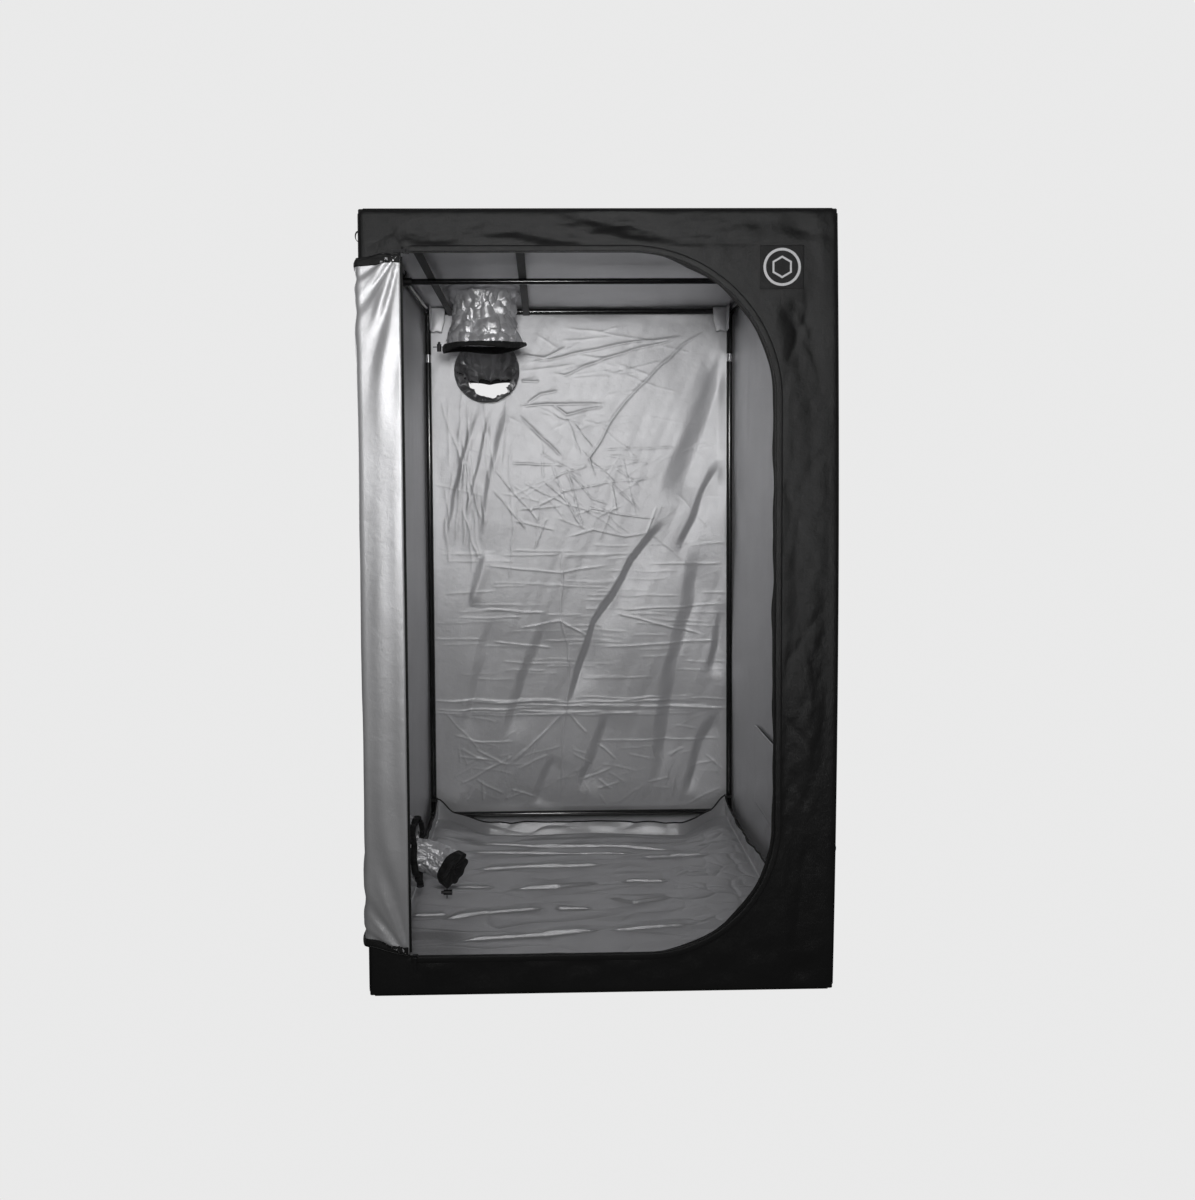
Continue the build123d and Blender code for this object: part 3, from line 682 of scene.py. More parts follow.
def calm_wall(seed):
    """A wall with only soft folds."""

    def shape(u, v):
        h = 0.005 * ripples(u, v, seed, 0.7, 8, 1.6)
        h += 0.0009 * ripples(u, v, seed + 1, 0.11, 14, 4.0)
        return h - 0.0010 * crease_net(u, v, seed + 2, 0.16, 0.008)

    return shape


def front_shape(x, v):
    """The front: long soft folds down the right side, slanting wrinkles along the top band."""
    z = v + MID
    right = smooth((x - 0.40) / 0.1)
    h = 0.0045 * right * ripples(x, z, 21, 0.12, 10, 6.0)
    h += hairlines(z, x, 26, 50, (0.2, 0.46), (1.8, 0.58), 0.30, 0.30, 0.0030, 0.006)
    top = smooth((z - 1.87) / 0.07)
    h += 0.0050 * top * ripples(x * 0.5 + z, z, 22, 0.10, 12, 1.5)
    h += hairlines(x, z, 23, 30, (-0.5, 1.91), (0.35, 1.98), 0.34, 0.12, 0.005, 0.0045) * top
    bottom = smooth((0.14 - z) / 0.05)
    h += 0.0018 * bottom * ripples(x * 0.5, z, 24, 0.10, 10, 1.0)
    h += 0.0008 * ripples(x, z, 25, 0.05, 12, 2.0)
    # Flat under the badge, and behind the folded door.
    h = h * smooth((np.hypot(x - BADGE.x, z - BADGE.z) - 0.07) / 0.05)
    h = h * smooth((x + 0.47) / 0.03 + 1.0 * (z > 1.89) + 1.0 * (z < 0.09))
    # Flat along the zip, where the sliders run.
    h = h * smooth((door_distance(x, z) - 0.010) / 0.02)
    pull = groove(x, z, [(-0.470, 1.985), (-0.485, 1.90)], -0.006, 0.010)
    return h + pull + groove(x, z, [(-0.50, 1.95), (-0.58, 1.90)], 0.004, 0.012)


BADGE = middle("badge_patch")


def port_outline(cu, cv, radius):
    return lambda u, v: np.hypot(u - cu, v - cv) - radius


ROOF_PORT = middle("roof_sleeve")
REAR_PORT = middle("rear_sleeve")
SIDE_PORT = middle("side_sleeve")
DUCT_R = (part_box("rear_sleeve")[1].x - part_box("rear_sleeve")[0].x) / 2 - 0.002
SIDE_R = (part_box("side_sleeve")[1].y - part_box("side_sleeve")[0].y) / 2
VENT_LOW, VENT_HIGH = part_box("vent_mesh")


def vent_distance(y, v):
    return round_box(y, v + MID, VENT_LOW, VENT_HIGH)


def build_walls():
    panel("front", HALF, MID, 0.007, front_shape, lambda u, v: door_distance(u, v + MID) - 0.002)
    panel("rear", HALF, MID, 0.0036, rear_shape, port_outline(REAR_PORT.x, REAR_PORT.z - MID, DUCT_R))
    left_shape = calm_wall(31)
    # Only inwards: the folded door is close outside.
    panel("left", HALF, MID, 0.010, lambda u, v: np.minimum(left_shape(u, v), 0.0),
          port_outline(SIDE_PORT.y, SIDE_PORT.z - MID, SIDE_R))
    panel("right", HALF, MID, 0.010, calm_wall(41), vent_distance)
    roof_port = port_outline(ROOF_PORT.x, ROOF_PORT.y, DUCT_R)
    roof_shape = calm_wall(51)
    # Flat round its port, so that the sleeve's top meets it.
    panel("roof", HALF, HALF, 0.010,
          lambda u, v: roof_shape(u, v) * smooth((roof_port(u, v) - 0.01) / 0.10),
          roof_port)
    panel("floor", HALF, HALF, 0.020, lambda u, v: 0 * u)


# ---- door -----------------------------------------------------------------------
STRIP_LOW, STRIP_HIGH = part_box("door_strip")
MAIN_LOW, MAIN_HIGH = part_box("door_main")
STRIP_Y = (STRIP_LOW.y + STRIP_HIGH.y) / 2
MAIN_X = (MAIN_LOW.x + MAIN_HIGH.x) / 2
TURN_R = 0.010
BAND = 0.020  # black zip tape round the door's edge


def door_path(s):
    """Point (x, y) and outward normal of the open door, s metres from its hinge."""
    straight = STRIP_HIGH.x - (MAIN_X + TURN_R)
    bend = TURN_R * math.pi / 2
    angle = np.clip((s - straight) / TURN_R, 0, math.pi / 2)
    x = np.where(s < straight, STRIP_HIGH.x - s, MAIN_X + TURN_R * (1 - np.sin(angle)))
    y = np.where(s < straight, STRIP_Y, STRIP_Y + TURN_R * (1 - np.cos(angle)))
    y = np.where(s > straight + bend, STRIP_Y + TURN_R + (s - straight - bend), y)
    return x, y, -np.sin(angle), -np.cos(angle)


DOOR_RUN = STRIP_HIGH.x - (MAIN_X + TURN_R) + TURN_R * math.pi / 2 + MAIN_HIGH.y - (STRIP_Y + TURN_R)


RIM_GAP = 0.008  # the door's curves are that much tighter than the opening's
DOOR_CURVES = (BOTTOM_CURVE - RIM_GAP, TOP_CURVE - RIM_GAP)


def door_edge(s, z):
    """Distance outside the door's own outline, which has the opening's curved corners."""
    return d_shape(s, z, -9.0, DOOR_RUN, STRIP_LOW.z, STRIP_HIGH.z, *DOOR_CURVES)


def door_folds(s, z):
    """Folds that fan out from the ends of the hinge, and soft ones between."""
    h = np.zeros_like(s)
    for z0, way in ((STRIP_HIGH.z + 0.01, -1), (STRIP_LOW.z - 0.01, 1)):
        ds, dz = s + 0.004, way * (z - z0)
        angle = np.arctan2(ds, np.maximum(dz, 1e-4))
        far = np.hypot(ds, dz)
        window = smooth(far / 0.05) * np.exp(-far / 0.35)
        h += 0.0065 * window * np.sin(angle * 15 + 1.2 * np.sin(far * 14))
        h += 0.003 * window * np.sin(angle * 33 + 2.0)
    h += 0.0022 * ripples(s, z, 61, 0.10, 10, 6.0)
    h += 0.0012 * crumple(s, z, 62, 0.12)
    return h * smooth(s / 0.03 + 0.2)


def door_points(s, z, lift):
    x, y, nx, ny = door_path(s)
    # Near the turn the door's top edge sinks and its bottom edge rides up.
    z0 = z
    slip = smooth(s / 0.11) * smooth((0.42 - s) / 0.26)
    z = z + 0.026 * slip * np.clip(1 - (z - STRIP_LOW.z) / 0.3, 0, 1) ** 2
    z = z - 0.010 * slip * np.clip(1 - (STRIP_HIGH.z - z) / 0.3, 0, 1) ** 2
    # Only outwards: the wall is close behind.
    out = np.maximum(door_folds(s, z) + 0.0045, 0.0) * edge_room(s) * rim_room(s, z0) + lift
    return np.stack([x + nx * out, y + ny * out, z], -1)


def edge_room(s):
    """Folds die away at the sharp turn round the corner."""
    straight = STRIP_HIGH.x - (MAIN_X + TURN_R)
    return 0.35 + 0.65 * smooth(np.abs(s - straight) / 0.05)


def rim_room(s, z):
    """Flat round the door's curved end, which closes over the draught flap."""
    return 1 - smooth((s - 0.35) / 0.15) * (1 - smooth((-0.004 - door_edge(s, z)) / 0.04))


def trimmed_edge(s, z):
    """The cloth stops short of the zip."""
    return door_edge(s, z) + 0.002


def build_door():
    step = 0.006
    s, z = grid(0, DOOR_RUN, STRIP_LOW.z, STRIP_HIGH.z, step)
    s, z = snapped(s, z, trimmed_edge, step)
    s = np.clip(s, 0, DOOR_RUN)
    keep = trimmed_edge(*cell_middles(s, z)) < 0
    cloth = sheet("door_cloth", door_points(s, z, 0.0), "silver_lining", "outer_fabric", keep, flip=True)
    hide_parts("door_strip", "door_main")
    tape = door_tape()
    teeth = door_teeth()
    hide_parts("door_strip_zip", "door_main_zip")
    for obj in (cloth, tape, teeth):
        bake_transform(obj)


def door_rim():
    """The door's zip edge as (s, z) from the hinge's top to its bottom, and the way out of it."""
    rim = np.array(d_run(0, DOOR_RUN, STRIP_LOW.z, STRIP_HIGH.z, *DOOR_CURVES, 0.004, 0))
    return rim, outward_of(rim)


def door_tape():
    """Black zip tape sewn round the door's edge, on the lining side."""
    rim, away = door_rim()
    rows = []
    for share in np.linspace(0, 1, 5):
        row = rim - away * (0.0005 + BAND * share)
        rows.append(door_points(np.clip(row[:, 0], 0, None), row[:, 1], 0.0013))
    return sheet("door_zip_tape", np.stack(rows, 1), "black_hem", "black_hem")


def coil_mesh(name, path, outward, normal, width, height):
    """Zip coil: a narrow band whose surface rises in a tooth every other point."""
    n = len(path)
    rows = []
    profile = [(-0.5, 0.0), (-0.45, 0.7), (0.0, 1.0), (0.45, 0.7),
               (0.5, 0.0), (0.45, -0.7), (0.0, -1.0), (-0.45, -0.7)]
    tooth = 1.0 + 0.22 * (np.arange(n) % 2)
    for a, b in profile:
        rows.append(path + outward * (a * width) + normal * (b * height / 2 * tooth)[:, None])
    points = np.stack(rows, 0)
    count = len(profile)
    faces = []
    for i in range(count):
        j = (i + 1) % count
        for k in range(n - 1):
            faces.append((i * n + k, j * n + k, j * n + k + 1, i * n + k + 1))
    faces.append(tuple(i * n for i in range(count))[::-1])
    faces.append(tuple(i * n + n - 1 for i in range(count)))
    return mesh_object(name, points.reshape(-1, 3), faces, ["zip_coil"])


def door_teeth():
    rim, away = door_rim()
    s, z = (rim + away * 0.0015).T
    s = np.clip(s, 0, None)
    _, _, nx, ny = door_path(s)
    normal = np.stack([nx, ny, np.zeros_like(nx)], -1)
    run = np.stack([ny, -nx, np.zeros_like(nx)], -1)
    outward = run * away[:, :1] * -1 + np.array([0, 0, 1.0]) * away[:, 1:]
    return coil_mesh("door_zip_coil", door_points(s, z, 0.0), outward, normal, 0.003, 0.0032)


# ---- zip on the front panel -------------------------------------------------------
def build_zip():
    """Coil, the draught flap behind it and the binding on the face."""
    outline = door_outline(-0.00125, 0.004)
    away = outward_of(outline)
    path = np.stack([outline[:, 0], np.full(len(outline), FRONT_Y + 0.001), outline[:, 1]], -1)
    outward = np.stack([away[:, 0], np.zeros(len(away)), away[:, 1]], -1)
    normal = np.tile(np.array([0, -1.0, 0]), (len(path), 1))
    coil = coil_mesh("panel_zip_coil", path, outward, normal, 0.0025, 0.0032)
    fix(coil, "panel_zip")
    ribbon("opening_binding", 0.0, 0.016, FRONT_Y - 0.0010, 0.0012, "outer_fabric")
    flap = ribbon("zip_draught_cloth", -0.006, 0.016, FRONT_Y + 0.0052, 0.0010, "black_hem",
                  ragged=0.0024, only_curved=True)
    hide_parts("zip_draught_flap")


def ribbon(name, inner, outer, y, thick, slot_name, ragged=0.0, only_curved=False):
    """Strip of cloth that follows the opening between two offsets from its edge."""
    spacing = 0.008
    base = door_outline(0.0, spacing)
    away = outward_of(base)
    if only_curved:
        picked = base[:, 0] > OPEN_RIGHT - BOTTOM_CURVE + 0.012
        base, away = base[picked], away[picked]
    length = np.arange(len(base)) * spacing
    wobble = ragged * ripples(length, 0 * length, 71, 0.16, 8)
    columns = []
    for t in (0, 0.25, 0.5, 0.75, 1):
        ends = smooth(length / 0.10) * smooth((length[-1] - length) / 0.10) if only_curved else 1.0
        offset = inner + (outer - inner) * t
        offset = np.where(offset < 0, offset * ends, offset) + wobble * (1 - t) * ends
        p = base + away * offset[:, None]
        crown = 0.0006 * math.sin(math.pi * t)
        depth = y - crown + ragged * 0.3 * ripples(length, 0 * length + t, 72, 0.07, 6)
        columns.append(np.stack([p[:, 0], depth + 0 * length, p[:, 1]], -1))
    return fix(sheet(name, np.stack(columns, 1), slot_name, slot_name, thick=thick))


# ---- sleeves ----------------------------------------------------------------------
def ring_grid(count_round, count_long):
    a = np.linspace(0, 2 * math.pi, count_round, endpoint=False)
    t = np.linspace(0, 1, count_long)
    return np.meshgrid(a, t, indexing="ij")


def foil_crinkle(a, t, seed, count):
    """Faceted crinkles of foil cloth, about -0.5 to 0.5, seamless round the sleeve."""
    x, y = np.cos(a), np.sin(a)
    rng = np.random.default_rng(seed)
    turn = rng.uniform(0, 2 * math.pi, count)
    centres = np.stack([np.cos(turn), np.sin(turn), rng.uniform(-0.1, 1.1, count)], -1)
    tilt = rng.normal(size=(count, 3))
    best = np.full(a.shape, 9.0)
    height = np.zeros(a.shape)
    reach = math.sqrt(4.0 / count)
    for (cx, cy, ct), (tx, ty, tt) in zip(centres, tilt):
        dx, dy, dt = x - cx, y - cy, (t - ct) * 1.4
        d = np.sqrt(dx**2 + dy**2 + dt**2)
        face = (tx * dx + ty * dy + tt * dt) / reach
        near = d < best
        best = np.where(near, d, best)
        height = np.where(near, face, height)
    return np.clip(0.35 * height - 0.5 * best / reach, -1.0, 0.6) + 0.2


def crumpled(a, t, seed, counts, depths):
    """Large and small crinkles together, in metres."""
    large = foil_crinkle(a, t, seed, counts[0])
    small = foil_crinkle(a, t, seed + 1, counts[1])
    return depths[0] * large + depths[1] * small


def sleeve_cloth(node, points, outside="foil", inside="foil", flip=False):
    """A sleeve's cloth from a grid of points closed round, standing for that CAD node."""
    cloth = sheet(f"{node}_cloth", points, outside, inside, wrap=True, flip=flip)
    fix(cloth, node)


def hem_round(name, node, rim, centre, axis, steps, thick, flip=False):
    """Black hem round a sleeve's mouth. Each step is a shift along the axis and one outward."""
    out = rim - np.array(centre)
    out[:, axis] = 0
    out /= np.linalg.norm(out, axis=1, keepdims=True)
    rows = [rim + out * grow + np.eye(3)[axis] * shift for shift, grow in steps]
    hem = sheet(name, np.stack(rows, 1), "black_hem", "black_hem", wrap=True, thick=thick, flip=flip)
    fix(hem, node)


def build_roof_sleeve():
    """Crinkled foil sleeve that hangs from the roof, gathered above a black hem."""
    low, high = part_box("roof_sleeve")
    hem_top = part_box("roof_sleeve_hem")[1].z
    cx, cy = ROOF_PORT.x, ROOF_PORT.y
    a, t = ring_grid(200, 90)
    mouth = (high.x - low.x) / 2 - 0.002
    body = DUCT_R + 0.003 - 0.016 * smooth(t * 4) + (mouth - DUCT_R + 0.010) * smooth((t - 0.45) / 0.55)
    press = crumpled(a, t, 81, (40, 200), (0.014, 0.011)) * smooth(t * 6)
    r = body + press + 0.012 * (1 - smooth(t * 14))
    r += 0.005 * np.sin(3 * a + 5 * t + 1) * t
    r = np.minimum(r, mouth + 0.001)
    tilt = 0.014 * np.sin(a)
    z = high.z - (high.z - low.z) * t - 0.006 * t * (0.5 - 0.5 * np.cos(a - 0.2)) + tilt * t
    points = np.stack([cx + r * np.cos(a), cy + r * np.sin(a), z], -1)
    sleeve_cloth("roof_sleeve", points)

    a, t = ring_grid(150, 10)
    wave = 0.004 * np.sin(5 * a + 1.0) + 0.003 * np.sin(11 * a) + 0.0015 * np.sin(23 * a)
    bulge = np.sin(math.pi * t) * 0.004
    r = mouth + 0.001 + bulge + wave * 0.5 + 0.0012 * np.sin(60 * a)
    droop = -0.006 * (0.5 - 0.5 * np.cos(a)) + 0.005 * np.sin(3 * a + 1) * (0.3 + t)
    tall = 0.020 + 0.005 * np.cos(a - 2.6)
    z = hem_top - tall * t + droop + 0.014 * np.sin(a)
    points = np.stack([cx + r * np.cos(a), cy + r * np.sin(a), z], -1)
    hem = sheet("roof_hem_cloth", points, "black_hem", "black_hem", wrap=True, thick=HEM_THICK)
    fix(hem, "roof_sleeve_hem")


def build_rear_sleeve():
    """The sleeve leaves the wall and its slack top falls, so the mouth is a low crescent."""
    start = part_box("rear_sleeve")[0].y
    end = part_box("rear_sleeve_hem")[1].y
    cx, cz = REAR_PORT.x, REAR_PORT.z
    a, t = ring_grid(200, 90)
    fall = smooth(t * 1.2)
    narrow = 1 - 0.25 * fall
    mouth_top = cz - 0.015
    mouth_low = cz - 0.094
    upper = np.sin(a) > 0
    top_now = cz + (DUCT_R + 0.001) * (1 - fall) + (mouth_top - cz) * fall
    low_now = cz - (DUCT_R - 0.001) * (1 - fall) + (mouth_low - cz) * fall
    mid_now = cz * (1 - fall) + (mouth_top - 0.004) * fall
    z = mid_now + np.where(upper, top_now - mid_now, mid_now - low_now) * np.sin(a)
    x = cx + 0.004 * fall + (DUCT_R + 0.001) * narrow * np.cos(a)
    free = smooth((0.97 - t) * 6)  # the hem holds the cloth still
    push = crumpled(a, t, 91, (40, 150), (0.014, 0.011)) * smooth(t * 8) * free
    push = push + 0.006 * np.sin(9 * a + 3 * t) * smooth(t * 4) * free
    x = x + push * np.cos(a)
    z = z + push * np.where(upper, 0.9, 0.5 * np.sin(a))
    points = np.stack([x, start + (end - start - 0.01) * t, z], -1)
    # Its inside uses the darker foil copy: painted shade for the sleeve's dim inside.
    sleeve_cloth("rear_sleeve", points,
                 "outer_fabric", "painted_shade_foil", flip=True)
    hang = np.where(upper[:, -1:], 1.0, 0.15)
    steps = ((-0.020, 0.0), (-0.008, 0.003), (0.004, 0.003), (0.008, -0.003 * hang), (0.006, -0.018 * hang))
    hem_round("rear_hem_cloth", "rear_sleeve_hem", points[:, -1], (cx, 0, (mouth_top + mouth_low) / 2), 1,
              steps, 0.005, flip=True)


def build_side_sleeve():
    """Low left port: a wide slack sleeve with a black hem."""
    low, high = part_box("side_sleeve")
    cy, cz = SIDE_PORT.y, SIDE_PORT.z
    a, t = ring_grid(160, 60)
    slack = 0.012 * t * np.sin(2 * a + 0.6) + 0.007 * t * np.sin(5 * a)
    r = SIDE_R - 0.004 * t + slack + crumpled(a, t, 101, (80, 380), (0.012, 0.008)) * smooth(t * 6)
    r = np.minimum(r, SIDE_R + 0.003)
    reach = 0.96 + 0.16 * np.cos(a + 2.4) + 0.10 * np.sin(2 * a) + 0.05 * np.sin(5 * a + 1)
    x = low.x + 0.62 * (high.x - low.x) * t * reach
    points = np.stack([x, cy + r * np.cos(a), cz + r * np.sin(a)], -1)
    sleeve_cloth("side_sleeve", points)
    steps = ((-0.004, 0.001), (0.002, 0.003), (0.010, 0.003), (0.016, 0.001))
    hem_round("side_hem_cloth", "side_sleeve_hem", points[:, -1], (0, cy, cz), 0, steps, HEM_THICK)


def build_cable_sleeve():
    """Narrow sleeve in the wide one: it bends down and forward to its tied end."""
    cuff_low, cuff_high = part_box("cable_sleeve_cuff")
    cuff = np.array((cuff_low + cuff_high) / 2)
    root = np.array((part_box("side_sleeve")[0].x + 0.006, SIDE_PORT.y, SIDE_PORT.z))
    tip = np.array((0.76, -0.58, -0.30))
    tip /= np.linalg.norm(tip)
    elbow = cuff - tip * 0.085
    a, t = ring_grid(120, 80)
    r = 0.0475 + crumpled(a, t, 111, (60, 300), (0.007, 0.005)) * smooth(t * 6) * smooth((1.05 - t) * 6)
    r = np.minimum(r, 0.050)[..., None]
    s = t[..., None]
    spine = root * (1 - s) ** 2 + 2 * elbow * s * (1 - s) + cuff * s**2
    way = 2 * (elbow - root) * (1 - s) + 2 * (cuff - elbow) * s
    way /= np.linalg.norm(way, axis=-1, keepdims=True)
    across = np.cross(way, np.array([0, 0, 1.0]))
    across /= np.linalg.norm(across, axis=-1, keepdims=True)
    rise = np.cross(across, way)
    points = spine + across * r * np.cos(a)[..., None] + rise * r * np.sin(a)[..., None]
    sleeve_cloth("cable_sleeve", points)

    # Gathered black cuff: pleats that run in to the middle.
    across, rise = across[0, -1], rise[0, -1]
    a, t = ring_grid(96, 30)
    pleats = np.sin(9 * a + 0.8 * np.sin(3 * a))
    lobes = 1 + 0.035 * np.cos(6 * a)
    drawn_in = 1 - (np.maximum(t - 0.35, 0) / 0.65) ** 1.1
    ring = np.where(t < 0.35, 0.052, 0.052 * drawn_in + 0.002) * lobes
    ring = ring + 0.0028 * pleats * smooth(t * 4) * smooth((1.05 - t) * 2)
    depth = -0.012 + 0.022 * smooth(t / 0.4) - 0.010 * smooth((t - 0.5) / 0.5) + 0.0025 * pleats * t
    points = cuff + tip * depth[..., None]
    points = points + across * (ring * np.cos(a))[..., None] + rise * (ring * np.sin(a))[..., None]
    end = sheet("cable_cuff_cloth", points, "black_hem", "black_hem", wrap=True, thick=0.002)
    fix(end, "cable_sleeve_cuff")


# ---- tray -------------------------------------------------------------------------
TRAY_STREAKS = [
    # Long creases across the tray floor, left to right as (x, y), and how high each stands.
    ([(-0.53, 0.41), (-0.09, 0.36), (0.37, 0.30)], 0.009),
    ([(-0.40, 0.115), (-0.15, 0.122), (0.07, 0.132)], 0.010),
    ([(-0.52, -0.010), (-0.30, -0.020)], 0.007),
    ([(-0.26, -0.040), (-0.10, -0.032), (0.03, 0.004)], 0.010),
    ([(0.10, 0.012), (0.26, 0.002)], 0.008),
    ([(0.05, -0.100), (0.13, -0.135), (0.26, -0.105)], 0.008),
    ([(-0.56, -0.195), (-0.44, -0.195)], 0.008),
    ([(-0.46, -0.222), (-0.34, -0.190), (-0.14, -0.158)], 0.010),
    ([(-0.12, -0.166), (0.00, -0.168)], 0.008),
    ([(-0.40, -0.342), (-0.20, -0.318), (0.02, -0.300)], 0.011),
    ([(0.04, -0.300), (0.28, -0.276)], 0.008),
    ([(0.18, 0.190), (0.44, 0.214)], 0.009),
    ([(-0.46, 0.285), (-0.10, 0.262), (0.19, 0.241)], 0.007),
]


def build_tray():
    """Slack tray: a wrinkled floor, three standing walls, and a rear wall flopped forward."""
    low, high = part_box("spill_tray")
    half = high.x
    wall = high.z - low.z
    step, step_v = 0.0060, 0.0015
    u, v = grid(-half - wall, half + wall, -half - wall, half + wall, step, step_v)
    over_x = np.maximum(np.abs(u) - half, 0)
    over_front = np.maximum(-v - half, 0)
    over_rear = np.maximum(v - half, 0)
    x = np.clip(u, -half, half)
    y = np.clip(v, -half, half)
    # The side walls sag between their corners, and the rear wall is slumped forward.
    stand = 1 - 0.38 * smooth((v + 0.10) / 0.40) * smooth((half - v) / 0.10)
    z = low.z + 0.0015 + over_x * stand + over_front
    slack = smooth((half - np.abs(x)) / 0.22)
    upright = 1 - smooth((half - np.abs(x)) / 0.07)
    pushed = slack * (0.165 + 0.012 * ripples(x, 0 * x, 121, 0.4, 6) + 0.03 * x)
    y = np.where(v > 0.2, 0.2 + (y - 0.2) * (half - pushed - 0.2) / (half - 0.2), y)
    y = y + over_rear * 0.30 * slack
    z = z + over_rear * (0.42 + 0.55 * upright)
    flat = (over_x == 0) & (over_front == 0) & (over_rear == 0)
    near_wall = smooth((half - np.maximum(np.abs(x), np.abs(v))) / 0.03)
    lift = 0.0030 + 0.0025 * ripples(x * 0.55, v, 122, 0.22, 12, 0.55)
    lift -= 0.0020 * crease_net(x * 0.35, v, 123, 0.10, 0.006)
    # Each streak has a steep face on one side and a slope that dies away on the other.
    uneven = 1 + 0.12 * ripples(x, 0 * x, 126, 0.09, 6)
    for run, height in TRAY_STREAKS:
        side, place = run_distance(x, v, run)
        stands = np.maximum(height * uneven * taper(place, 0.2), 1e-5)
        shape = np.where(side > 0, np.clip(1 - side / (0.62 * stands), 0, 1), np.exp(side / 0.022))
        lift = lift + stands * shape
    rumpled = smooth((x - 0.22) / 0.12)
    lift -= 0.004 * rumpled * crease_net(x, v, 125, 0.09, 0.008)
    z = z + np.where(flat, np.maximum(lift, 0) * near_wall, 0)
    wavy = 0.0045 * ripples(u * 0.8, v, 124, 0.16, 10)
    x = x - np.where(over_x > 0, np.sign(u) * np.abs(wavy) * smooth(over_x / 0.04), 0)
    y = y + np.where(over_front > 0, np.abs(wavy) * smooth(over_front / 0.04), 0)
    z = z + np.where(over_rear > 0, np.abs(wavy) * slack * smooth(over_rear / 0.05), 0)
    keep = ~((np.abs(u[:-1, :-1] + step / 2) > half) & (np.abs(v[:-1, :-1] + step_v / 2) > half))
    points = np.stack([x, y, z], -1)
    tray = sheet("spill_tray_cloth", points, "tray_cloth", "outer_fabric", keep)
    fix(tray, "spill_tray")
    side = 2 * (half + wall)
    build_binding(points, u, v, half)


def build_binding(points, u, v, half):
    """Black bound edge along the tray's four hems."""
    nu, nv = u.shape
    us, vs = u[:, 0], v[0]
    in_u = np.flatnonzero(np.abs(us) <= half)
    in_v = np.flatnonzero(np.abs(vs) <= half)
    hems = {
        "tray_binding_front": points[in_u, 0],
        "tray_binding_rear": points[in_u, nv - 1],
        "tray_binding_left": points[0, in_v],
        "tray_binding_right": points[nu - 1, in_v],
    }
    for name, run in hems.items():
        fix(tube_along(name, run[::2], 0.0028, "black_hem"), "tray_binding")


# ---- top corner pockets, vent, badge, seams ----------------------------------------
def corners(prefix):
    """The tent's four upright edges: the signs of x and y, and a piece's name."""
    for sx, side in ((-1, "left"), (1, "right")):
        for sy, end in ((-1, "front"), (1, "rear")):
            yield sx, sy, f"{prefix}_{side}_{end}"


def build_pockets():
    """Silver cloth over each top corner connector, wrapped round the bars."""
    low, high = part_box("corner_pockets")
    reach = 0.054
    s, z = grid(-1, 1, 0, 1, 0.05)
    short = 1 - 0.22 * smooth((1 - z - 0.45) / 0.55)
    bulge = 0.006 * np.sin(math.pi * np.abs(s) * 0.9) * np.sin(math.pi * (0.1 + 0.8 * z))
    height = low.z + (high.z - low.z) * z + 0.002 * np.sin(9 * s) * (1 - z)
    for sx, sy, name in corners("corner_pocket"):
        x = sx * (high.x - reach * np.clip(-s, 0, 1) * short)
        y = sy * (high.x - reach * np.clip(s, 0, 1) * short)
        x = x - sx * np.where(s > 0, bulge + 0.001, 0)
        y = y - sy * np.where(s < 0, bulge + 0.001, 0)
        points = np.stack([x, y, height], -1)
        fix(sheet(name, points, "silver_lining", "silver_lining", thick=0.0012), "corner_pockets")


def build_vent():
    """Flap that covers the mesh, with a sewn border, and the mesh in its window."""
    low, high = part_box("vent_flap")
    step = 0.006
    y, z = snapped(*grid(low.y, high.y, low.z, high.z, step), lambda a, b: round_box(a, b, low, high), step)
    keep = round_box(*cell_middles(y, z), low, high) < 0
    inset = -round_box(y, z, low, high)
    stitch = 0.0012 * np.exp(-(((inset - 0.012) / 0.0025) ** 2))
    puff = 0.0030 * smooth(inset / 0.05) * (0.7 + 0.3 * ripples(y, z, 131, 0.12, 8))
    x = (low.x + high.x) / 2 - np.maximum(puff - stitch, -0.0008)
    points = np.stack([x, y, z], -1)
    flap = sheet("vent_flap_cloth", points, "silver_lining", "outer_fabric", keep, flip=True)
    fix(flap, "vent_flap", "vent_flap")
    build_mesh_window()


def build_mesh_window():
    """Open net of threads across the vent, with a bound rim outside."""
    pitch, half = 0.0045, 0.0007
    x = (VENT_LOW.x + VENT_HIGH.x) / 2
    upright, level = (VENT_LOW.z, VENT_HIGH.z), (VENT_LOW.y, VENT_HIGH.y)
    faces, points = [], []
    for upright_threads, (low, high), ends in ((True, level, upright), (False, upright, level)):
        lift = -0.0003 if upright_threads else 0.0003
        run = np.linspace(*ends, 60)
        for at in np.arange(low + pitch, high, pitch):
            place = (np.full(60, at), run - MID) if upright_threads else (run, np.full(60, at - MID))
            inside = run[vent_distance(*place) < 0.004]
            k = len(points)
            for end in (inside[0], inside[-1]):
                for off in (-half, half):
                    y, z = (at + off, end) if upright_threads else (end, at + off)
                    points.append((x + lift, y, z))
            faces.append((k, k + 1, k + 3, k + 2))
    net = mesh_object("vent_mesh_net", points, faces, ["vent_mesh"])
    solid = net.modifiers.new("thread", "SOLIDIFY")
    solid.thickness = 0.0006
    solid.offset = 0
    fix(net, "vent_mesh")
    rim = []
    cy, cz = (VENT_LOW.y + VENT_HIGH.y) / 2, (VENT_LOW.z + VENT_HIGH.z) / 2
    for a in np.linspace(0, 2 * math.pi, 120, endpoint=False):
        reach = 0.05
        while vent_distance(cy + reach * math.cos(a), cz - MID + reach * math.sin(a)) < 0:
            reach += 0.001
        rim.append((HALF + 0.0004, cy + reach * math.cos(a), cz + reach * math.sin(a)))
    fix(tube_along("vent_rim_binding", rim, 0.0022, "black_hem", closed=True))


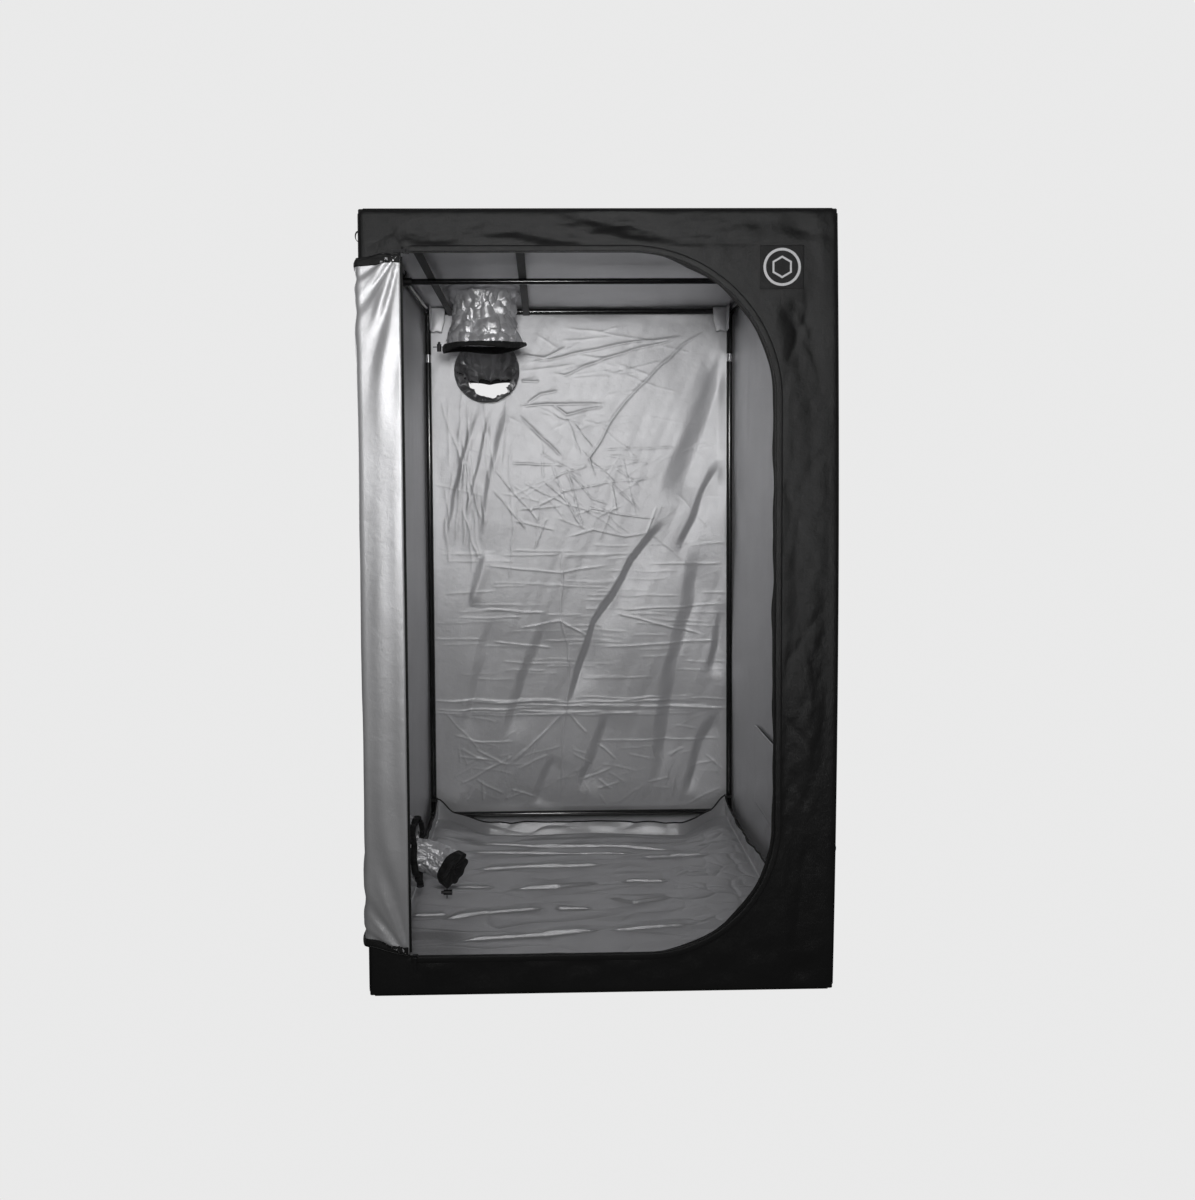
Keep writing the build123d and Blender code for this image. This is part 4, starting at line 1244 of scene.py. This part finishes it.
def build_badge():
    """Plain patch with a printed ring and a hexagon."""
    low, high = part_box("badge_patch")
    cx, cz = (low.x + high.x) / 2, (low.z + high.z) / 2
    hx, hz = (high.x - low.x) / 2, (high.z - low.z) / 2
    y_face = low.y
    s, t = grid(-1, 1, -1, 1, 0.08)
    crown = 0.0006 * (1 - np.maximum(np.abs(s), np.abs(t)) ** 6)
    points = np.stack([cx + hx * s, y_face + 0.0004 - crown, cz + hz * t], -1)
    patch = sheet("badge_cloth", points, "badge", "badge", thick=0.0010)
    fix(patch, "badge_patch")
    face = y_face - 0.0018
    ring = printed_ring("badge_ring", cx, face, cz, 0.047, 0.0405, 64)
    nut = printed_ring("badge_hexagon", cx, face, cz, 0.028, 0.0225, 6)
    for obj in (ring, nut):
        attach(obj, "root")


def printed_ring(name, cx, y, cz, outer, inner, sides):
    """Flat printed band, round or with straight sides."""
    points, faces = [], []
    thick = 0.0004
    for depth in (0, thick):
        for radius in (outer, inner):
            for k in range(sides):
                a = 2 * math.pi * (k + 0.5) / sides
                points.append((cx + radius * math.cos(a), y + depth, cz + radius * math.sin(a)))
    n = sides
    for k in range(n):
        j = (k + 1) % n
        faces.append((k, n + k, n + j, j)[::-1])
        faces.append((2 * n + k, 2 * n + j, 3 * n + j, 3 * n + k)[::-1])
        faces.append((k, j, 2 * n + j, 2 * n + k))
        faces.append((n + k, 3 * n + k, 3 * n + j, n + j))
    return mesh_object(name, points, faces, ["badge_ink"], shade=False)


def strip_along(name, path, wide, width, slot_name, thick):
    """Flat webbing along a path of points; wide is the direction across it at each point."""
    path, wide = np.array(path), np.array(wide, float)
    rows = [path + wide * (width * t) for t in (-0.5, -0.42, 0.0, 0.42, 0.5)]
    return sheet(name, np.stack(rows, 1), slot_name, slot_name, thick=thick)


def build_straps():
    """Two hanging straps from the front bar to the rear bar, looped round both."""
    bar_y = -(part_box("top_front_bar")[0].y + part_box("top_front_bar")[1].y) / 2
    bar_z = middle("top_front_bar").z
    wrap = TUBE_R + 0.0014
    for side in ("left", "right"):
        node = f"{side}_hanging_strap"
        low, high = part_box(node)
        x = (low.x + high.x) / 2
        flat = [(x, y, bar_z - wrap - 0.0016 * math.sin(math.pi * (y + bar_y) / (2 * bar_y)))
                for y in np.linspace(-bar_y, bar_y, 90)]
        end = [(x, bar_y + wrap * math.cos(a), bar_z + wrap * math.sin(a))
               for a in np.linspace(-math.pi / 2 + 0.05, math.pi * 0.9, 34)]
        turned = [(px, -py, pz) for px, py, pz in end][::-1]
        path = turned + flat[1:-1] + end
        wide = [(1, 0, 0)] * len(path)
        strap = strip_along(f"{side}_strap_webbing", path, wide, high.x - low.x, "webbing", WEBBING_THICK)
        fix(strap, node, f"{side}_strap")


def build_tie_loops():
    """Small webbing loops sewn to the front corners, one high on the left, one low on the right."""
    for name, sx, z in (("tie_loop_left", -1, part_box("tie_loops")[1].z), ("tie_loop_right", 1, None)):
        low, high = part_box("tie_loops")
        tall = 0.024
        centre_z = z - tall / 2 if z is not None else low.z + tall / 2
        y = (low.y + high.y) / 2
        path, wide = [], []
        for a in np.linspace(-math.pi / 2, math.pi / 2, 20):
            path.append((sx * (HALF - 0.001 + 0.007 * math.cos(a)), y, centre_z + tall / 2 * math.sin(a)))
            wide.append((0, 1, 0))
        loop = strip_along(name, path, wide, 0.008, "webbing", WEBBING_THICK)
        fix(loop, "tie_loops")


def build_tray_ties():
    """A webbing ring round each post that holds the tray's corner."""
    low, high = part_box("tray_ties")
    z = (low.z + high.z) / 2
    tray_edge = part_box("spill_tray")[1].x
    for sx, sy, name in corners("tray_tie"):
        corner = (sx * (tray_edge - 0.002), sy * (tray_edge - 0.002), z)
        toward = math.atan2(-sy, -sx)
        path = [corner]
        for a in np.linspace(0.35, 2 * math.pi - 0.35, 40):
            turn = toward + a
            path.append((sx * TUBE_X + (TUBE_R + 0.001) * math.cos(turn),
                         sy * TUBE_X + (TUBE_R + 0.001) * math.sin(turn), z))
        path.append(corner)
        tie = strip_along(name, path, [(0, 0, 1)] * len(path), high.z - low.z, "webbing", 0.001)
        fix(tie, "tray_ties")


def cord_end(name, node, start, end, radius):
    """Free end of a drawcord, from its hem to its lock."""
    points = [tuple(Vector(start).lerp(Vector(end), t)) for t in np.linspace(0, 1, 12)]
    cord = tube_along(name, points, radius, "drawcord")
    fix(cord, node)


def build_cords():
    """The two drawcords: the ring of each is hidden in its hem, and its ends run into the lock."""
    low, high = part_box("roof_drawcord")
    radius = (high.z - low.z) / 2
    ring_r = high.x - ROOF_PORT.x - radius
    z = (low.z + high.z) / 2
    apart = 0.0015
    for k, offset in enumerate((-apart, apart)):
        start = (ROOF_PORT.x - ring_r + 0.002, ROOF_PORT.y + offset, z)
        cord_end(f"roof_cord_end_{k}", "roof_drawcord", start, (low.x, start[1], z), radius)
    low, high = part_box("cable_cuff_cord")
    x = (low.x + high.x) / 2
    for k, y in enumerate((low.y + radius, high.y - radius)):
        cord_end(f"cable_cord_end_{k}", "cable_cuff_cord", (x, y, high.z), (x, y, low.z), radius)


def build_springs():
    """Each cord lock's spring, copied from its CAD coil at its rest length; the real one shortens as its
    plunger is pressed.
    """
    for lock in ("roof_lock", "cable_lock"):
        node = f"{lock}_spring"
        mesh = frame["nodes"][node].data
        points = [v.co for v in mesh.vertices]
        faces = [tuple(p.vertices) for p in mesh.polygons]
        spring = mesh_object(f"{lock}_coil", points, faces, ["spring_steel"])
        fix(spring, node)
        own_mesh(spring)


def build_piping():
    """Sewn piping down the tent's long edges."""
    inset = EDGE_R * (1 - math.cos(math.pi / 4)) - 0.0008
    near = HALF - inset
    pad = EDGE_R
    runs = []
    for sx in (-1, 1):
        for sy in (-1, 1):
            runs.append([(sx * near, sy * near, z) for z in np.linspace(pad, TOP - pad, 60)])
        for z in (inset, TOP - inset):
            runs.append([(sx * near, y, z) for y in np.linspace(-HALF + pad, HALF - pad, 40)])
    for sy in (-1, 1):
        for z in (inset, TOP - inset):
            runs.append([(x, sy * near, z) for x in np.linspace(-HALF + pad, HALF - pad, 40)])
    for k, run in enumerate(runs):
        fix(tube_along(f"edge_piping_{k:02d}", bowed(np.array(run)), 0.0016, "black_hem", sides=8))


def build_hinge_seam():
    """Binding that joins the door to the front panel along the hinge."""
    levels = grid(-1, 1, STRIP_LOW.z + 0.004, STRIP_HIGH.z - 0.004, 0.012)[1][0]
    s, z = np.meshgrid(np.linspace(-1, 1, 9), levels, indexing="ij")
    x = OPEN_LEFT + 0.0035 * s - 0.001
    y = np.where(s <= 0, STRIP_Y - 0.0012 + 0.0022 * np.clip(1 + s * 2, 0, 1), FRONT_Y - 0.0008)
    seam = sheet("door_hinge_seam", np.stack([x, y, z], -1), "black_hem", "black_hem", thick=0.001)
    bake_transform(seam)


# ---- stage, lights and camera -------------------------------------------------------
STAGE = 14.0  # half the floor's side, in metres
BACKDROP, AMBIENT = 0.82, 0.06
LIGHTS = [
    # Name, place, point it faces, side in metres, watts and spread in degrees.
    ("key", (-0.16, -2.70, 1.66), (0.03, 0.0, 1.70), 0.35, 12.5, 115),
    ("behind_left", (-2.6, 2.4, 2.4), (-0.3, 0.3, 1.0), 2.6, 18.0, 120),
    ("behind_right", (2.6, 2.4, 2.4), (0.3, 0.3, 1.0), 2.6, 18.0, 120),
]
# The camera fitted to the photograph.
CAMERA_PLACE = (-0.141, -2.745, 1.303)
YAW, PITCH, ROLL = (math.radians(v) for v in (0.94, -2.27, 0.38))
LENS, SENSOR = 25.59, 36.0
SHIFT = (0.0328, -0.0652)


def build_stage():
    mesh = bpy.data.meshes.new("studio_floor")
    signs = ((-1, -1), (1, -1), (1, 1), (-1, 1))
    mesh.from_pydata([(a * STAGE, b * STAGE, -0.0004) for a, b in signs], [], [(0, 1, 2, 3)])
    floor = bpy.data.objects.new("studio_floor", mesh)
    bpy.context.scene.collection.objects.link(floor)
    n = Nodes("studio_floor")
    n.set(Base_Color=(0, 0, 0, 1), Roughness=1.0, Emission_Color=(BACKDROP, BACKDROP, BACKDROP, 1),
          Emission_Strength=1.0, Specular_IOR_Level=0.0)
    mesh.materials.append(n.material)
    floor.visible_diffuse = False
    floor.visible_glossy = False


def build_world():
    world = bpy.data.worlds.new("studio")
    bpy.context.scene.world = world
    world.use_nodes = True
    tree = world.node_tree
    output = tree.nodes["World Output"]
    seen = tree.nodes["Background"]
    seen.inputs["Color"].default_value = (BACKDROP, BACKDROP, BACKDROP, 1)
    light = tree.nodes.new("ShaderNodeBackground")
    light.inputs["Color"].default_value = (AMBIENT, AMBIENT, AMBIENT, 1)
    rays = tree.nodes.new("ShaderNodeLightPath")
    mix = tree.nodes.new("ShaderNodeMixShader")
    tree.links.new(rays.outputs["Is Camera Ray"], mix.inputs["Fac"])
    tree.links.new(light.outputs["Background"], mix.inputs[1])
    tree.links.new(seen.outputs["Background"], mix.inputs[2])
    tree.links.new(mix.outputs["Shader"], output.inputs["Surface"])


def area_light(name, place, aim, size, power, spread):
    data = bpy.data.lights.new(name, "AREA")
    data.size = size
    data.energy = power
    data.spread = math.radians(spread)
    obj = bpy.data.objects.new(name, data)
    bpy.context.scene.collection.objects.link(obj)
    obj.location = place
    obj.rotation_euler = (Vector(aim) - Vector(place)).to_track_quat("-Z", "Y").to_euler()
    obj.visible_camera = False


def build_camera():
    """The photograph's viewpoint: 1.3 m up, a little left of the middle, 2.1 m from the door."""
    data = bpy.data.cameras.new("camera")
    data.lens = LENS
    data.sensor_width = SENSOR
    data.shift_x, data.shift_y = SHIFT
    data.clip_end = 60
    camera = bpy.data.objects.new("camera", data)
    bpy.context.scene.collection.objects.link(camera)
    level = Vector((math.sin(YAW), math.cos(YAW), 0))
    side = Vector((math.cos(YAW), -math.sin(YAW), 0))
    upright = Vector((0, 0, 1))
    forward = level * math.cos(PITCH) + upright * math.sin(PITCH)
    up = -level * math.sin(PITCH) + upright * math.cos(PITCH)
    right = side * math.cos(ROLL) - up * math.sin(ROLL)
    head = side * math.sin(ROLL) + up * math.cos(ROLL)
    place = Matrix((right, head, -forward)).transposed().to_4x4()
    place.translation = Vector(CAMERA_PLACE)
    camera.matrix_world = place
    bpy.context.scene.camera = camera


def main():
    bpy.context.scene.view_settings.view_transform = "Standard"
    build_camera()
    paint_cad_nodes()
    build_walls()
    build_door()
    build_hinge_seam()
    build_zip()
    build_roof_sleeve()
    build_rear_sleeve()
    build_side_sleeve()
    build_cable_sleeve()
    build_tray()
    build_pockets()
    build_vent()
    build_badge()
    build_piping()
    build_straps()
    build_tie_loops()
    build_tray_ties()
    build_cords()
    build_springs()
    build_stage()
    build_world()
    for light in LIGHTS:
        area_light(*light)


main()
